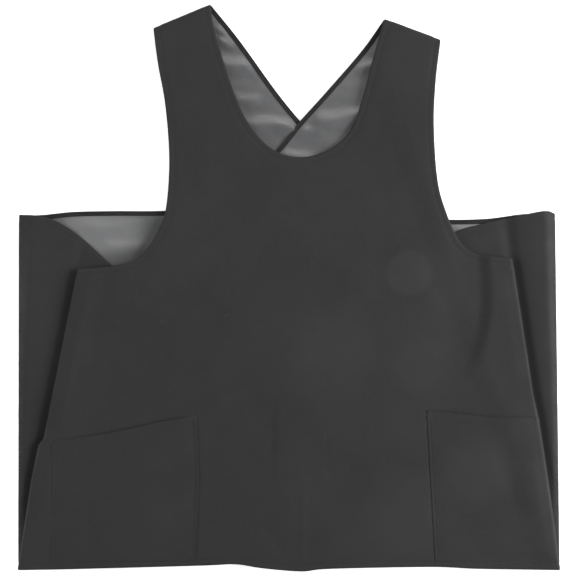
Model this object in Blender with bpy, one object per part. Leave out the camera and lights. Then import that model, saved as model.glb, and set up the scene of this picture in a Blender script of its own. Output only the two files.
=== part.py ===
"""Cross-back lead apron, laid flat: pattern pieces folded into the flat garment.

The garment is a pull-over pinafore: a front panel, a gusset in each side that folds in under
the front, two back panels that overlap at the centre, and two straps that come over the
shoulders and cross before they reach the opposite back panel. Every panel is a stack of cut
pieces: a coated outer cover, one or two plies of lead vinyl, and a satin lining, with a narrow
facing tape inside each free edge. Two patch pockets sit on the front.

Frame: +Z up, +Y towards the shoulders, +X to the right with the front facing up. The origin
is on the table at the middle of the garment. Outlines are plans in millimetres.
"""
import math

import bmesh
import bpy
from mathutils import Vector

MM = 0.001

# ---- cloth thicknesses and gaps ---------------------------------------------------------
GAP = 0.3                       # between one ply and the next
LINING = 0.3                    # satin lining
PLY = 0.5                       # one sheet of lead vinyl
COVER = 0.4                     # coated outer cover
TAPE = 0.4                      # facing tape
TAPE_WIDTH = 8.0
TAPE_EDGE = 0.6                 # the tape lies this far inside the edge
SHIELD_INSET = 12.0             # the lead vinyl stops short of the stitched edge
SEAM = 0.15                     # half the gap where two pieces meet end to end

# Height of each ply above the inner face of the lining, which is what the folds turn about
LINING_LAYER = (0.0, LINING)
INNER_PLY_LAYER = (LINING + GAP, LINING + GAP + PLY)
OUTER_PLY_LAYER = (INNER_PLY_LAYER[1] + GAP, INNER_PLY_LAYER[1] + GAP + PLY)
COVER_LAYER = (INNER_PLY_LAYER[1] + GAP, INNER_PLY_LAYER[1] + GAP + COVER)
FRONT_COVER_LAYER = (OUTER_PLY_LAYER[1] + GAP, OUTER_PLY_LAYER[1] + GAP + COVER)
MOUTH_TAPE_LAYER = (FRONT_COVER_LAYER[1] + GAP, FRONT_COVER_LAYER[1] + GAP + TAPE)
POCKET_LAYER = (MOUTH_TAPE_LAYER[1] + GAP, MOUTH_TAPE_LAYER[1] + GAP + COVER)
TAPE_LAYER = (-GAP - TAPE, -GAP)

# ---- fold radii at the lining's inner face ----------------------------------------------
OUTER_FOLD_RADIUS = 1.3         # side seam, between back and gusset
INNER_FOLD_RADIUS = 2.1         # middle of the gusset, where the covers lie face to face
CREASE_RADIUS = 1.2             # between the gusset and the front
ARC_STEPS = 3                   # facets in a quarter turn

# ---- height of the lining's inner face above the table ----------------------------------
BACK_LEVEL = COVER_LAYER[1]
SIDE_LEVEL = BACK_LEVEL + 2 * OUTER_FOLD_RADIUS
HIDDEN_LEVEL = SIDE_LEVEL + 2 * INNER_FOLD_RADIUS
FRONT_LEVEL = HIDDEN_LEVEL + 2 * CREASE_RADIUS
OVERLAP_RISE = 2.8              # the upper back panel lies this much higher at the centre

# ---- fold lines -------------------------------------------------------------------------
LEFT_HEM_CORNER = (-419.5, -437)
RIGHT_HEM_CORNER = (420.5, -437)
LEFT_CREASE_TOP = (-326, 30)
RIGHT_CREASE_TOP = (346, 46)
LEFT_INNER_TOP = (-266, 27)
RIGHT_INNER_TOP = (246, 70)
LEFT_FOLD_TOP = (-418.5, 114)
RIGHT_FOLD_TOP = (413.5, 116)
LEFT_SHOULDER = ((-210, 404.2), (-121.4, 441))
RIGHT_SHOULDER = ((236, 386), (149, 418.5))
GARMENT_CENTRE = (0, 0)
ORIGIN = (0.5, 0.5)             # middle of the whole garment's outline in the plan

# ---- edges of the front panel -----------------------------------------------------------
NECKLINE = [(-121.4, 441), (-115, 402), (-92, 324), (-66, 262), (-30, 219), (13, 203),
            (60, 213), (95, 244), (115, 296), (132, 361), (149, 418.5)]
LEFT_ARMHOLE = [(-210, 404.2), (-203, 350), (-191, 283), (-185, 201), (-190, 125),
                (-202, 90), (-222, 58), (-249, 39), (-290, 32), (-326, 30)]
RIGHT_ARMHOLE = [(236, 386), (228, 320), (225, 250), (231, 165), (246, 112), (264, 73.5),
                 (285, 55), (310, 50), (346, 46)]
FRONT_HEM = [(-419.5, -437), (-320, -436), (-137, -431), (-83, -429), (-41, -435),
             (20, -440), (64, -436), (219, -433), (297, -436), (420.5, -437)]

# ---- edges of the gussets: top of the side layer, then top of the hidden layer ----------
LEFT_SIDE_TOP = [(-418.5, 114), (-388, 112), (-360, 103.5), (-324, 80), (-266, 27)]
RIGHT_SIDE_TOP = [(413.5, 116), (396, 119.5), (346, 109.5), (297, 99), (262, 88), (246, 70)]
LEFT_HIDDEN_TOP = [(-297, 24), (-326, 23)]
RIGHT_HIDDEN_TOP = [(262, 57), (290, 44), (346, 38)]
LEFT_HIDDEN_END = -344.0        # below this a gusset has only its side layer
RIGHT_HIDDEN_END = -370.0
GUSSET_TIP = -420.0
SHIELD_HIDDEN_END = -300.0      # the gusset's lead vinyl stops here

# ---- edges of the back panels and of the straps that cross onto them --------------------
STRAP_SEAM_Y = 150.0
CENTRE_OVERLAP = 45.0           # each back panel passes the centre line by this much
LEFT_CENTRE_EDGE = [(48, 95), (CENTRE_OVERLAP, 0)]
RIGHT_CENTRE_EDGE = [(-48, 95), (-CENTRE_OVERLAP, 0)]
LEFT_BACK_TOP = [(-90, 150), (-140, 127), (-191, 120.3), (-272, 119.8), (-335, 118.5),
                 (-386, 113.5), (-418.5, 114)]
RIGHT_BACK_TOP = [(123, 150), (155, 128), (205, 110), (250, 106.5), (310, 108), (365, 115),
                  (413.5, 116)]
LEFT_STRAP_NECK = [(-121.4, 441), (-77, 386), (-20, 307), (18, 260), (60, 212), (123, 150)]
LEFT_STRAP_ARM = [(-210, 404.2), (-195, 385), (-130, 299), (-80, 232), (-58, 188), (-49, 150)]
RIGHT_STRAP_NECK = [(149, 418.5), (113, 368), (56, 302), (18, 260), (-24, 210), (-90, 150)]
RIGHT_STRAP_ARM = [(236, 386), (221, 362), (160, 286), (110, 224), (76, 182), (60, 150)]
CROSSING = (18, 260)            # the straps' neck edges cross here
STRAP_DROP = (70.0, 190.0)      # past the crossing the upper strap comes down over this stretch
STRAP_END_RISE = 0.3            # what is left of the rise at the shoulder

# ---- pockets ----------------------------------------------------------------------------
POCKET_FOOT_Y = -424.0
LEFT_POCKET_MOUTH = [(-362, -236), (-325, -234), (-285, -228), (-245, -218), (-199, -204),
                     (-143, -199)]
RIGHT_POCKET_MOUTH = [(217, -190), (268, -195), (315, -200), (378, -201)]
LEFT_POCKET_FOOT = [(-145, POCKET_FOOT_Y), (-370, POCKET_FOOT_Y)]
RIGHT_POCKET_FOOT = [(413, POCKET_FOOT_Y), (226, POCKET_FOOT_Y)]
MOUTH_TAPE_WIDTH = 16.0
MOUTH_TAPE_INSET = 2.0

POCKET_HINGE_Z = FRONT_LEVEL + MOUTH_TAPE_LAYER[0]

MERGE = 0.01                    # points closer than this are one
FLAT_ANGLE = math.radians(0.5)  # faces that meet flatter than this are one

BLACK = (0.040, 0.042, 0.044, 1.0)
LEAD = (0.20, 0.21, 0.23, 1.0)
SATIN = (0.17, 0.18, 0.19, 1.0)
TAPE_BLACK = (0.022, 0.022, 0.024, 1.0)
FELT = (0.10, 0.10, 0.10, 1.0)


class Line:
    """A straight line in the plan. Its normal points away from the garment, or to `beyond`."""

    def __init__(self, start, end, inside=GARMENT_CENTRE):
        self.point = Vector(start)
        along = (Vector(end) - self.point).normalized()
        normal = Vector((along.y, -along.x))
        self.normal = -normal if normal.dot(Vector(inside) - self.point) > 0 else normal

    def distance(self, plan):
        return (plan - self.point).dot(self.normal)

    def flip(self, plan):
        return plan - 2 * self.distance(plan) * self.normal

    def meet(self, plan, direction):
        """Slide a point along a direction until it is half a seam gap short of the line."""
        reach = (-SEAM - self.distance(plan)) / direction.dot(self.normal)
        return plan + direction * reach


class Fold(Line):
    """A fold line. Cloth beyond it turns over, upwards or downwards, round an arc."""

    def __init__(self, start, end, radius, up, inside=GARMENT_CENTRE, after=None):
        super().__init__(start, end, inside)
        self.radius = radius
        self.rise = 1 if up else -1
        self.half_arc = radius * math.pi / 2
        self.after = after

    def cuts(self):
        """Lines across the flat pattern where the arc's facets meet, as point and normal."""
        for step in range(-ARC_STEPS, ARC_STEPS + 1):
            point = self.point + self.normal * self.half_arc * step / ARC_STEPS
            normal = self.normal
            if self.after:
                normal = self.after.flip(point + normal) - self.after.flip(point)
                point = self.after.flip(point)
            yield point, normal

    def bend(self, plan, level, facing, height):
        """Place a point of the arc, at a height above the lining's inner face."""
        distance = self.distance(plan)
        angle = (distance + self.half_arc) / self.radius
        radius = self.radius - self.rise * facing * height
        out = radius * math.sin(angle) - self.half_arc
        up = level + self.rise * (self.radius - radius * math.cos(angle))
        return plan + (out - distance) * self.normal, up


def constant(level):
    return lambda plan: level


def upper_back_level(plan):
    """The left back panel climbs onto the right one; its strap comes down at the shoulder."""
    share = (plan.x - LEFT_HEM_CORNER[0]) / (-CENTRE_OVERLAP - LEFT_HEM_CORNER[0])
    past = (plan - Vector(CROSSING)).dot(strap_direction()) - STRAP_DROP[0]
    drop = past / (STRAP_DROP[1] - STRAP_DROP[0])
    rise = OVERLAP_RISE * min(max(share, 0), 1)
    return BACK_LEVEL + rise - (OVERLAP_RISE - STRAP_END_RISE) * min(max(drop, 0), 1)


def strap_direction():
    return (Vector(RIGHT_STRAP_NECK[0]) - Vector(CROSSING)).normalized()


def upper_back_cuts():
    """Where the upper back panel's level changes slope."""
    yield Vector((-CENTRE_OVERLAP, 0)), Vector((1, 0))
    for reach in STRAP_DROP:
        yield Vector(CROSSING) + strap_direction() * reach, strap_direction()


def smooth(points, steps=2):
    """A smooth curve through the points, as a polyline."""
    path = [Vector(point) for point in points]
    before = [2 * path[0] - path[1]] + path[:-1]
    after = path[1:] + [2 * path[-1] - path[-2]]
    curve = []
    for index in range(len(path) - 1):
        start, end = path[index], path[index + 1]
        leave = (after[index] - before[index]) / 2
        arrive = (after[index + 1] - before[index + 1]) / 2
        for step in range(steps):
            t = step / steps
            curve.append((2 * t**3 - 3 * t**2 + 1) * start + (t**3 - 2 * t**2 + t) * leave
                         + (3 * t**2 - 2 * t**3) * end + (t**3 - t**2) * arrive)
    return curve + [path[-1]]


def ends_at(path, start_line, end_line):
    """The path with its two ends slid onto the seams that it runs between."""
    path = list(path)
    if start_line:
        path[0] = start_line.meet(path[0], path[1] - path[0])
    if end_line:
        path[-1] = end_line.meet(path[-1], path[-1] - path[-2])
    return path


def shifted(path, margin, side):
    """The path moved sideways; side is 1 to its left and -1 to its right."""
    moved = []
    for index, point in enumerate(path):
        along = path[min(index + 1, len(path) - 1)] - path[max(index - 1, 0)]
        moved.append(point + Vector((-along.y, along.x)).normalized() * margin * side)
    return moved


def ribbon(path, side, start_line=None, end_line=None, edge=TAPE_EDGE, width=TAPE_WIDTH):
    """Outline of a tape that follows a path, with its ends cut along the seams."""
    outer = ends_at(shifted(path, edge, side), start_line, end_line)
    inner = ends_at(shifted(path, edge + width, side), start_line, end_line)
    return outer + inner[::-1]


def inset(outline, margin):
    """A closed outline with every side moved inwards."""
    pairs = list(zip(outline, outline[1:] + outline[:1]))
    area = sum(a.x * b.y - b.x * a.y for a, b in pairs)
    turn = 1 if area > 0 else -1
    moved = []
    for index, point in enumerate(outline):
        before = (point - outline[index - 1]).normalized()
        after = (outline[(index + 1) % len(outline)] - point).normalized()
        along = (before + after).normalized()
        normal = Vector((-along.y, along.x)) * turn
        side = Vector((-after.y, after.x)) * turn
        moved.append(point + normal * margin / max(normal.dot(side), 0.5))
    return moved


def material(name, colour, roughness):
    surface = bpy.data.materials.new(name)
    surface.use_nodes = True
    shader = surface.node_tree.nodes["Principled BSDF"]
    shader.inputs["Base Color"].default_value = colour
    shader.inputs["Roughness"].default_value = roughness
    shader.inputs["Metallic"].default_value = 0.0
    return surface


def flat_mesh(name, outline, thickness):
    """The cut piece before it is folded, as a closed mesh in millimetres."""
    curve = bpy.data.curves.new(name, "CURVE")
    curve.dimensions = "2D"
    curve.fill_mode = "BOTH"
    curve.extrude = thickness / 2
    spline = curve.splines.new("POLY")
    spline.points.add(len(outline) - 1)
    for slot, point in zip(spline.points, outline):
        slot.co = (point.x, point.y, 0, 1)
    spline.use_cyclic_u = True
    holder = bpy.data.objects.new(name + "_outline", curve)
    bpy.context.scene.collection.objects.link(holder)
    depsgraph = bpy.context.evaluated_depsgraph_get()
    mesh = bpy.data.meshes.new_from_object(holder.evaluated_get(depsgraph))
    bpy.data.objects.remove(holder)
    return mesh


def lay(plan, height, level, facing, folds):
    """Where a point of the flat pattern ends up: its plan position and its height."""
    base = level(plan)
    passed = []
    for fold in folds:
        if fold.after and fold.after not in passed:
            continue
        distance = fold.distance(plan)
        if distance >= fold.half_arc:
            plan = fold.flip(plan)
            base += 2 * fold.rise * fold.radius
            facing = -facing
            passed.append(fold)
        elif distance > -fold.half_arc:
            return fold.bend(plan, base, facing, height)
    return plan, base + facing * height


def sheet(name, outline, layer, surface, level, facing=1, folds=(), cuts=()):
    """One ply: cut to its outline, folded along each line and laid at its level."""
    mesh = flat_mesh(name, outline, layer[1] - layer[0])
    body = bmesh.new()
    body.from_mesh(mesh)
    bmesh.ops.remove_doubles(body, verts=body.verts, dist=MERGE)
    bmesh.ops.dissolve_limit(body, angle_limit=FLAT_ANGLE, verts=body.verts, edges=body.edges)
    lines = [line for fold in folds for line in fold.cuts()] + list(cuts)
    for point, normal in lines:
        everything = body.verts[:] + body.edges[:] + body.faces[:]
        bmesh.ops.bisect_plane(body, geom=everything, dist=MERGE, plane_co=point.to_3d(),
                               plane_no=normal.to_3d())
    middle = (layer[0] + layer[1]) / 2
    for vertex in body.verts:
        plan, up = lay(vertex.co.xy, vertex.co.z + middle, level, facing, folds)
        vertex.co = Vector((plan.x - ORIGIN[0], plan.y - ORIGIN[1], up)) * MM
    bmesh.ops.recalc_face_normals(body, faces=body.faces)
    if body.calc_volume(signed=True) < 0:
        bmesh.ops.reverse_faces(body, faces=body.faces)
    body.to_mesh(mesh)
    body.free()
    mesh.materials.clear()
    mesh.materials.append(surface)
    piece = bpy.data.objects.new(name, mesh)
    parts.objects.link(piece)
    return piece


def front_outline(creases, shoulders):
    neck = ends_at(smooth(NECKLINE), shoulders[0], shoulders[1])
    right = ends_at(smooth(RIGHT_ARMHOLE), None, creases[1])
    left = ends_at(smooth(LEFT_ARMHOLE), None, creases[0])
    right[0] = shoulders[1].meet(right[0], shoulders[1].normal)
    left[0] = shoulders[0].meet(left[0], shoulders[0].normal)
    hem = smooth(FRONT_HEM)
    hem[0] = creases[0].meet(hem[0], creases[0].normal)
    hem[-1] = creases[1].meet(hem[-1], creases[1].normal)
    return neck + right + hem[::-1] + left[::-1]


def front_panel(creases, shoulders):
    outline = front_outline(creases, shoulders)
    level = constant(FRONT_LEVEL)
    folds = creases + shoulders
    sheet("front_cover", outline, FRONT_COVER_LAYER, cover_cloth, level, folds=folds)
    sheet("front_lining", outline, LINING_LAYER, satin, level, folds=folds)
    shield = inset(outline, SHIELD_INSET)
    sheet("front_shield_outer_ply", shield, OUTER_PLY_LAYER, lead_vinyl, level)
    sheet("front_shield_inner_ply", shield, INNER_PLY_LAYER, lead_vinyl, level)
    tapes = {
        "neckline_facing": ribbon(smooth(NECKLINE), -1, *shoulders),
        "left_armhole_facing": ribbon(smooth(LEFT_ARMHOLE), 1, shoulders[0], creases[0]),
        "right_armhole_facing": ribbon(smooth(RIGHT_ARMHOLE), -1, shoulders[1], creases[1]),
        "front_hem_facing": ribbon(smooth(FRONT_HEM), 1, *creases),
    }
    for name, strip in tapes.items():
        sheet(name, strip, TAPE_LAYER, tape_cloth, level, folds=folds)


def gusset(side, side_top, hidden_top, hidden_end, seam, inner, crease):
    """A side panel, drawn as its upper layer lies; past the inner fold it is the hidden layer."""
    crease_cut = Line(inner.flip(crease.point), inner.flip(point_at(crease, GUSSET_TIP, 0)),
                      inside=inner.flip(Vector(GARMENT_CENTRE)))
    top = smooth(side_top) + [inner.flip(Vector(point)) for point in hidden_top]
    clear = -(inner.half_arc + GAP)

    def outline(end, tip):
        edge = list(top)
        edge[0] = seam.meet(edge[0], seam.normal)
        edge[-1] = crease_cut.meet(edge[-1], crease_cut.normal)
        corners = [inner.flip(point_at(crease, end, -SEAM)), point_at(inner, end, clear)]
        if tip != end:
            corners.append(point_at(inner, tip, clear))
        return edge + corners + [point_at(seam, tip, -SEAM)]

    folds = (seam, inner, crease)
    level = constant(SIDE_LEVEL)
    whole = outline(hidden_end, GUSSET_TIP)
    shield = inset(outline(SHIELD_HIDDEN_END, SHIELD_HIDDEN_END), SHIELD_INSET)
    turn = 1 if side == "left" else -1
    strip = ribbon(top, -turn, seam, crease_cut)
    sheet(side + "_side_cover", whole, COVER_LAYER, cover_cloth, level, folds=folds)
    sheet(side + "_side_lining", whole, LINING_LAYER, satin, level, folds=folds)
    sheet(side + "_side_shield", shield, INNER_PLY_LAYER, lead_vinyl, level, folds=(inner,))
    sheet(side + "_side_top_facing", strip, TAPE_LAYER, tape_cloth, level, folds=folds)


def point_at(line, y, offset):
    """The point at this y on a line moved sideways by the offset."""
    along = Vector((line.normal.y, -line.normal.x))
    start = line.point + line.normal * offset
    return start + along * (y - start.y) / along.y


def back_panel(side, top_edge, centre_edge, strap_arm, seam, level, cuts):
    """Half of the back, face down, from the side seam to past the centre line."""
    corner = Vector(LEFT_HEM_CORNER if side == "left" else RIGHT_HEM_CORNER)
    centre_x = centre_edge[-1][0]
    top = ends_at(smooth(top_edge), strap_seam_back, seam)
    centre = [strap_seam_back.meet(Vector(strap_arm[-1]), strap_seam_back.normal)]
    centre += [Vector(point) for point in centre_edge]
    hem = [seam.meet(corner, seam.normal), Vector((centre_x, corner.y))]
    outline = top + hem + centre[::-1]
    turn = 1 if side == "left" else -1
    clear = TAPE_EDGE + TAPE_WIDTH + GAP
    clear_of_hem = Vector((centre_x, corner.y + clear))
    clear_of_centre = Vector((centre_x - turn * clear, corner.y))
    tapes = {
        "_back_top_facing": ribbon(smooth(top_edge), turn, strap_seam_back, seam),
        "_back_centre_facing": ribbon(centre + [clear_of_hem], -turn, strap_seam_back),
        "_back_hem_facing": ribbon([corner, clear_of_centre], turn, seam),
    }
    options = {"level": level, "facing": -1, "folds": (seam,), "cuts": cuts}
    sheet(side + "_back_cover", outline, COVER_LAYER, cover_cloth, **options)
    sheet(side + "_back_lining", outline, LINING_LAYER, satin, **options)
    shield = inset(outline, SHIELD_INSET)
    sheet(side + "_back_shield", shield, INNER_PLY_LAYER, lead_vinyl, **options)
    for name, strip in tapes.items():
        sheet(side + name, strip, TAPE_LAYER, tape_cloth, **options)


def strap(side, neck_edge, arm_edge, shoulder, level, cuts):
    """A strap, face down, from its shoulder seam to the opposite back panel."""
    neck = ends_at(smooth(neck_edge), shoulder, strap_seam)
    arm = ends_at(smooth(arm_edge), shoulder, strap_seam)
    outline = neck + arm[::-1]
    turn = 1 if side == "left" else -1
    options = {"level": level, "facing": -1, "folds": (shoulder,), "cuts": cuts}
    sheet(side + "_strap_cover", outline, COVER_LAYER, cover_cloth, **options)
    sheet(side + "_strap_lining", outline, LINING_LAYER, satin, **options)
    core = inset(outline, SHIELD_INSET)
    sheet(side + "_strap_interlining", core, INNER_PLY_LAYER, interlining, **options)
    for name, edge, hand in (("neck", smooth(neck_edge), -turn), ("arm", smooth(arm_edge), turn)):
        strip = ribbon(edge, hand, shoulder, strap_seam)
        sheet(f"{side}_strap_{name}_facing", strip, TAPE_LAYER, tape_cloth, **options)


def pocket(side, mouth, foot):
    """A patch pocket on its own hinge, which runs along its foot."""
    hinge = bpy.data.objects.new(side + "_pocket_foot_line", None)
    middle = (foot[0][0] + foot[1][0]) / 2
    place = Vector((middle - ORIGIN[0], POCKET_FOOT_Y - ORIGIN[1], POCKET_HINGE_Z))
    hinge.location = place * MM
    parts.objects.link(hinge)
    mouth_path = smooth(mouth)
    outline = mouth_path + [Vector(point) for point in foot]
    tape_path = mouth_path[1:-1]
    tape = ribbon(tape_path, -1, edge=MOUTH_TAPE_INSET, width=MOUTH_TAPE_WIDTH)
    level = constant(FRONT_LEVEL)
    pieces = [sheet(side + "_pocket", outline, POCKET_LAYER, cover_cloth, level),
              sheet(side + "_pocket_mouth_tape", tape, MOUTH_TAPE_LAYER, tape_cloth, level)]
    for piece in pieces:
        piece.parent = hinge
        piece.matrix_parent_inverse.translation = -hinge.location


for leftover in list(bpy.data.objects):
    bpy.data.objects.remove(leftover, do_unlink=True)
parts = bpy.data.collections.new("lead_apron")
bpy.context.scene.collection.children.link(parts)

cover_cloth = material("cover_cloth", BLACK, 0.75)
satin = material("satin_lining", SATIN, 0.45)
lead_vinyl = material("lead_vinyl", LEAD, 0.65)
interlining = material("interlining", FELT, 0.95)
tape_cloth = material("facing_tape", TAPE_BLACK, 0.8)

LEFT_SHOULDER_RADIUS = (FRONT_LEVEL - BACK_LEVEL) / 2
RIGHT_SHOULDER_RADIUS = (FRONT_LEVEL - BACK_LEVEL - STRAP_END_RISE) / 2

# The same fold is turned down by the piece above it and up by the piece below it
left_crease_line = (LEFT_CREASE_TOP, LEFT_HEM_CORNER, CREASE_RADIUS)
right_crease_line = (RIGHT_CREASE_TOP, RIGHT_HEM_CORNER, CREASE_RADIUS)
left_outer_line = (LEFT_FOLD_TOP, LEFT_HEM_CORNER, OUTER_FOLD_RADIUS)
right_outer_line = (RIGHT_FOLD_TOP, RIGHT_HEM_CORNER, OUTER_FOLD_RADIUS)
left_shoulder_line = (*LEFT_SHOULDER, LEFT_SHOULDER_RADIUS)
right_shoulder_line = (*RIGHT_SHOULDER, RIGHT_SHOULDER_RADIUS)
strap_seam = Line((0, STRAP_SEAM_Y), (1, STRAP_SEAM_Y), inside=CROSSING)
strap_seam_back = Line((0, STRAP_SEAM_Y), (1, STRAP_SEAM_Y))

front_panel([Fold(*left_crease_line, up=False), Fold(*right_crease_line, up=False)],
            [Fold(*left_shoulder_line, up=False), Fold(*right_shoulder_line, up=False)])
for side, side_top, hidden_top, hidden_end, outer, inner_top, hem_corner, crease in (
        ("left", LEFT_SIDE_TOP, LEFT_HIDDEN_TOP, LEFT_HIDDEN_END, left_outer_line,
         LEFT_INNER_TOP, LEFT_HEM_CORNER, left_crease_line),
        ("right", RIGHT_SIDE_TOP, RIGHT_HIDDEN_TOP, RIGHT_HIDDEN_END, right_outer_line,
         RIGHT_INNER_TOP, RIGHT_HEM_CORNER, right_crease_line)):
    inner = Fold(inner_top, hem_corner, INNER_FOLD_RADIUS, up=True, inside=(hem_corner[0], 0))
    gusset(side, side_top, hidden_top, hidden_end, Fold(*outer, up=False), inner,
           Fold(*crease, up=True, after=inner))
upper = {"level": upper_back_level, "cuts": list(upper_back_cuts())}
lower = {"level": constant(BACK_LEVEL), "cuts": ()}
back_panel("left", LEFT_BACK_TOP, LEFT_CENTRE_EDGE, RIGHT_STRAP_ARM,
           Fold(*left_outer_line, up=True), **upper)
back_panel("right", RIGHT_BACK_TOP, RIGHT_CENTRE_EDGE, LEFT_STRAP_ARM,
           Fold(*right_outer_line, up=True), **lower)
strap("right", RIGHT_STRAP_NECK, RIGHT_STRAP_ARM, Fold(*right_shoulder_line, up=True), **upper)
strap("left", LEFT_STRAP_NECK, LEFT_STRAP_ARM, Fold(*left_shoulder_line, up=True), **lower)
pocket("left", LEFT_POCKET_MOUTH, LEFT_POCKET_FOOT)
pocket("right", RIGHT_POCKET_MOUTH, RIGHT_POCKET_FOOT)
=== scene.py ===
"""Looks of the cross-back lead apron, laid flat on a table with its front up.

Every ply of the CAD gets a finer piece here: its cut pattern, meshed closely, shaped in its flat
state (turned edges, stitched channels, puckers, wrinkles) and then folded by the garment's folds.
The front sags between the folded gussets that hold its sides up, and all that is sewn to it sags
with it. Patterns are plans in millimetres.
"""
import math

import bpy
import numpy as np
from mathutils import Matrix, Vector, noise
from mathutils.geometry import delaunay_2d_cdt
from mathutils.kdtree import KDTree


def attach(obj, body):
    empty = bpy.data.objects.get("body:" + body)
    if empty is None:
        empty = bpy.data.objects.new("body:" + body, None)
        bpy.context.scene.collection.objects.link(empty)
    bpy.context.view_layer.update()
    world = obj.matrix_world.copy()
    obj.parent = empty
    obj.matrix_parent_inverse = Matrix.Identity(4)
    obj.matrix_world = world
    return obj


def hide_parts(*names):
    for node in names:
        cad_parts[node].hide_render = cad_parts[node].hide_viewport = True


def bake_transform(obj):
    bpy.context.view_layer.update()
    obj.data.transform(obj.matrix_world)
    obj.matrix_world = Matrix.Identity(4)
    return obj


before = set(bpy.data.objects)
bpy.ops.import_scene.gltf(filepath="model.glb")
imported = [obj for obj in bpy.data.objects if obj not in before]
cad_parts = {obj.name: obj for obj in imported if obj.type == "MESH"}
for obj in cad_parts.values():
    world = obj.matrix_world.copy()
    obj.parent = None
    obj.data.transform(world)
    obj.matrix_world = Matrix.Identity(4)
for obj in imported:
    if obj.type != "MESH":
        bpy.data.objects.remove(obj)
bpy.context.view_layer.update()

MM = 0.001
FAR = 1.0e9
TINY = 1e-9
CLOSE = 1e-6
ORIGIN = np.array((0.5, 0.5))   # middle of the whole garment's outline in the plan

# ---- plies, as heights above the lining's inner face ------------------------------------
GAP = 0.3
LINING = 0.3
PLY = 0.5
COVER = 0.4
TAPE = 0.4
SEAM = 0.15                     # half the gap where two pieces meet end to end
SHIELD_INSET = 12.0             # the lead vinyl stops short of the stitched edge
FRONT_SHIELD_INSET = 15.0
INNER_PLY = LINING + GAP
OUTER_PLY = INNER_PLY + PLY + GAP
SINGLE_TOP = OUTER_PLY + COVER          # outer face of a cover over one ply
FRONT_TOP = OUTER_PLY + PLY + GAP + COVER
TAPE_FACE = -GAP - TAPE                 # the facing tape's visible face
MOUTH_TAPE_LEVEL = FRONT_TOP + GAP
POCKET_TOP = MOUTH_TAPE_LEVEL + TAPE + GAP + COVER

# ---- folds, and the lining's height above the table on each layer -----------------------
OUTER_FOLD_RADIUS = 1.3
INNER_FOLD_RADIUS = 2.5
CREASE_RADIUS = 2.7
BACK_LEVEL = SINGLE_TOP
SIDE_LEVEL = BACK_LEVEL + 2 * OUTER_FOLD_RADIUS
HIDDEN_LEVEL = SIDE_LEVEL + 2 * INNER_FOLD_RADIUS
FRONT_LEVEL = HIDDEN_LEVEL + 2 * CREASE_RADIUS      # at the creases
SHOULDER_LEVEL = 11.0           # the front's lining where it turns down at the shoulders
OVERLAP_RISE = 2.8
STRAP_DROP = (70.0, 190.0)
STRAP_END_RISE = 0.3

LEFT_HEM_CORNER = (-419.5, -437)
RIGHT_HEM_CORNER = (420.5, -437)
LEFT_CREASE = ((-326, 30), LEFT_HEM_CORNER)
RIGHT_CREASE = ((346, 46), RIGHT_HEM_CORNER)
LEFT_INNER = ((-266, 27), LEFT_HEM_CORNER)
RIGHT_INNER = ((246, 70), RIGHT_HEM_CORNER)
LEFT_OUTER = ((-418.5, 114), LEFT_HEM_CORNER)
RIGHT_OUTER = ((413.5, 116), RIGHT_HEM_CORNER)
LEFT_SHOULDER = ((-210, 404.2), (-121.4, 441))
RIGHT_SHOULDER = ((236, 386), (149, 418.5))

# ---- cut patterns -----------------------------------------------------------------------
NECKLINE = [(-121.4, 441), (-115, 402), (-92, 324), (-66, 262), (-30, 219), (13, 203),
            (60, 213), (95, 244), (115, 296), (132, 361), (149, 418.5)]
LEFT_ARMHOLE = [(-210, 404.2), (-203, 350), (-191, 283), (-185, 201), (-190, 125),
                (-202, 90), (-222, 58), (-249, 39), (-290, 32), (-326, 30)]
RIGHT_ARMHOLE = [(236, 386), (228, 320), (225, 250), (231, 165), (246, 112), (264, 73.5),
                 (285, 55), (310, 50), (346, 46)]
FRONT_HEM = [(-419.5, -437), (-320, -436), (-137, -431), (-83, -429), (-41, -435),
             (20, -440), (64, -436), (219, -433), (297, -436), (420.5, -437)]
LEFT_SIDE_TOP = [(-418.5, 114), (-388, 112), (-360, 103.5), (-324, 80), (-266, 27)]
RIGHT_SIDE_TOP = [(413.5, 116), (396, 119.5), (346, 109.5), (297, 99), (262, 88), (246, 70)]
LEFT_HIDDEN_TOP = [(-297, 24), (-326, 23)]
RIGHT_HIDDEN_TOP = [(262, 57), (290, 44), (346, 38)]
LEFT_HIDDEN_END = -344.0
RIGHT_HIDDEN_END = -370.0
GUSSET_TIP = -420.0
SHIELD_HIDDEN_END = -300.0
STRAP_SEAM_Y = 150.0
CENTRE_OVERLAP = 45.0
LEFT_CENTRE_EDGE = [(48, 95), (CENTRE_OVERLAP, 0)]
RIGHT_CENTRE_EDGE = [(-48, 95), (-CENTRE_OVERLAP, 0)]
LEFT_BACK_TOP = [(-90, 150), (-140, 127), (-191, 120.3), (-272, 119.8), (-335, 118.5),
                 (-386, 113.5), (-418.5, 114)]
RIGHT_BACK_TOP = [(123, 150), (155, 128), (205, 110), (250, 106.5), (310, 108), (365, 115),
                  (413.5, 116)]
LEFT_STRAP_NECK = [(-121.4, 441), (-77, 386), (-20, 307), (18, 260), (60, 212), (123, 150)]
LEFT_STRAP_ARM = [(-210, 404.2), (-195, 385), (-130, 299), (-80, 232), (-58, 188), (-49, 150)]
RIGHT_STRAP_NECK = [(149, 418.5), (113, 368), (56, 302), (18, 260), (-24, 210), (-90, 150)]
RIGHT_STRAP_ARM = [(236, 386), (221, 362), (160, 286), (110, 224), (76, 182), (60, 150)]
CROSSING = np.array((18.0, 260.0))
POCKET_FOOT_Y = -424.0
LEFT_POCKET_MOUTH = [(-362, -236), (-320, -231), (-280, -224.5), (-240, -216.5), (-200, -207.5),
                     (-165, -201.5), (-143, -199)]
LEFT_POCKET_INNER = [(-143, -199), (-139.5, -262), (-139.5, -330), (-145, POCKET_FOOT_Y)]
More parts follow.
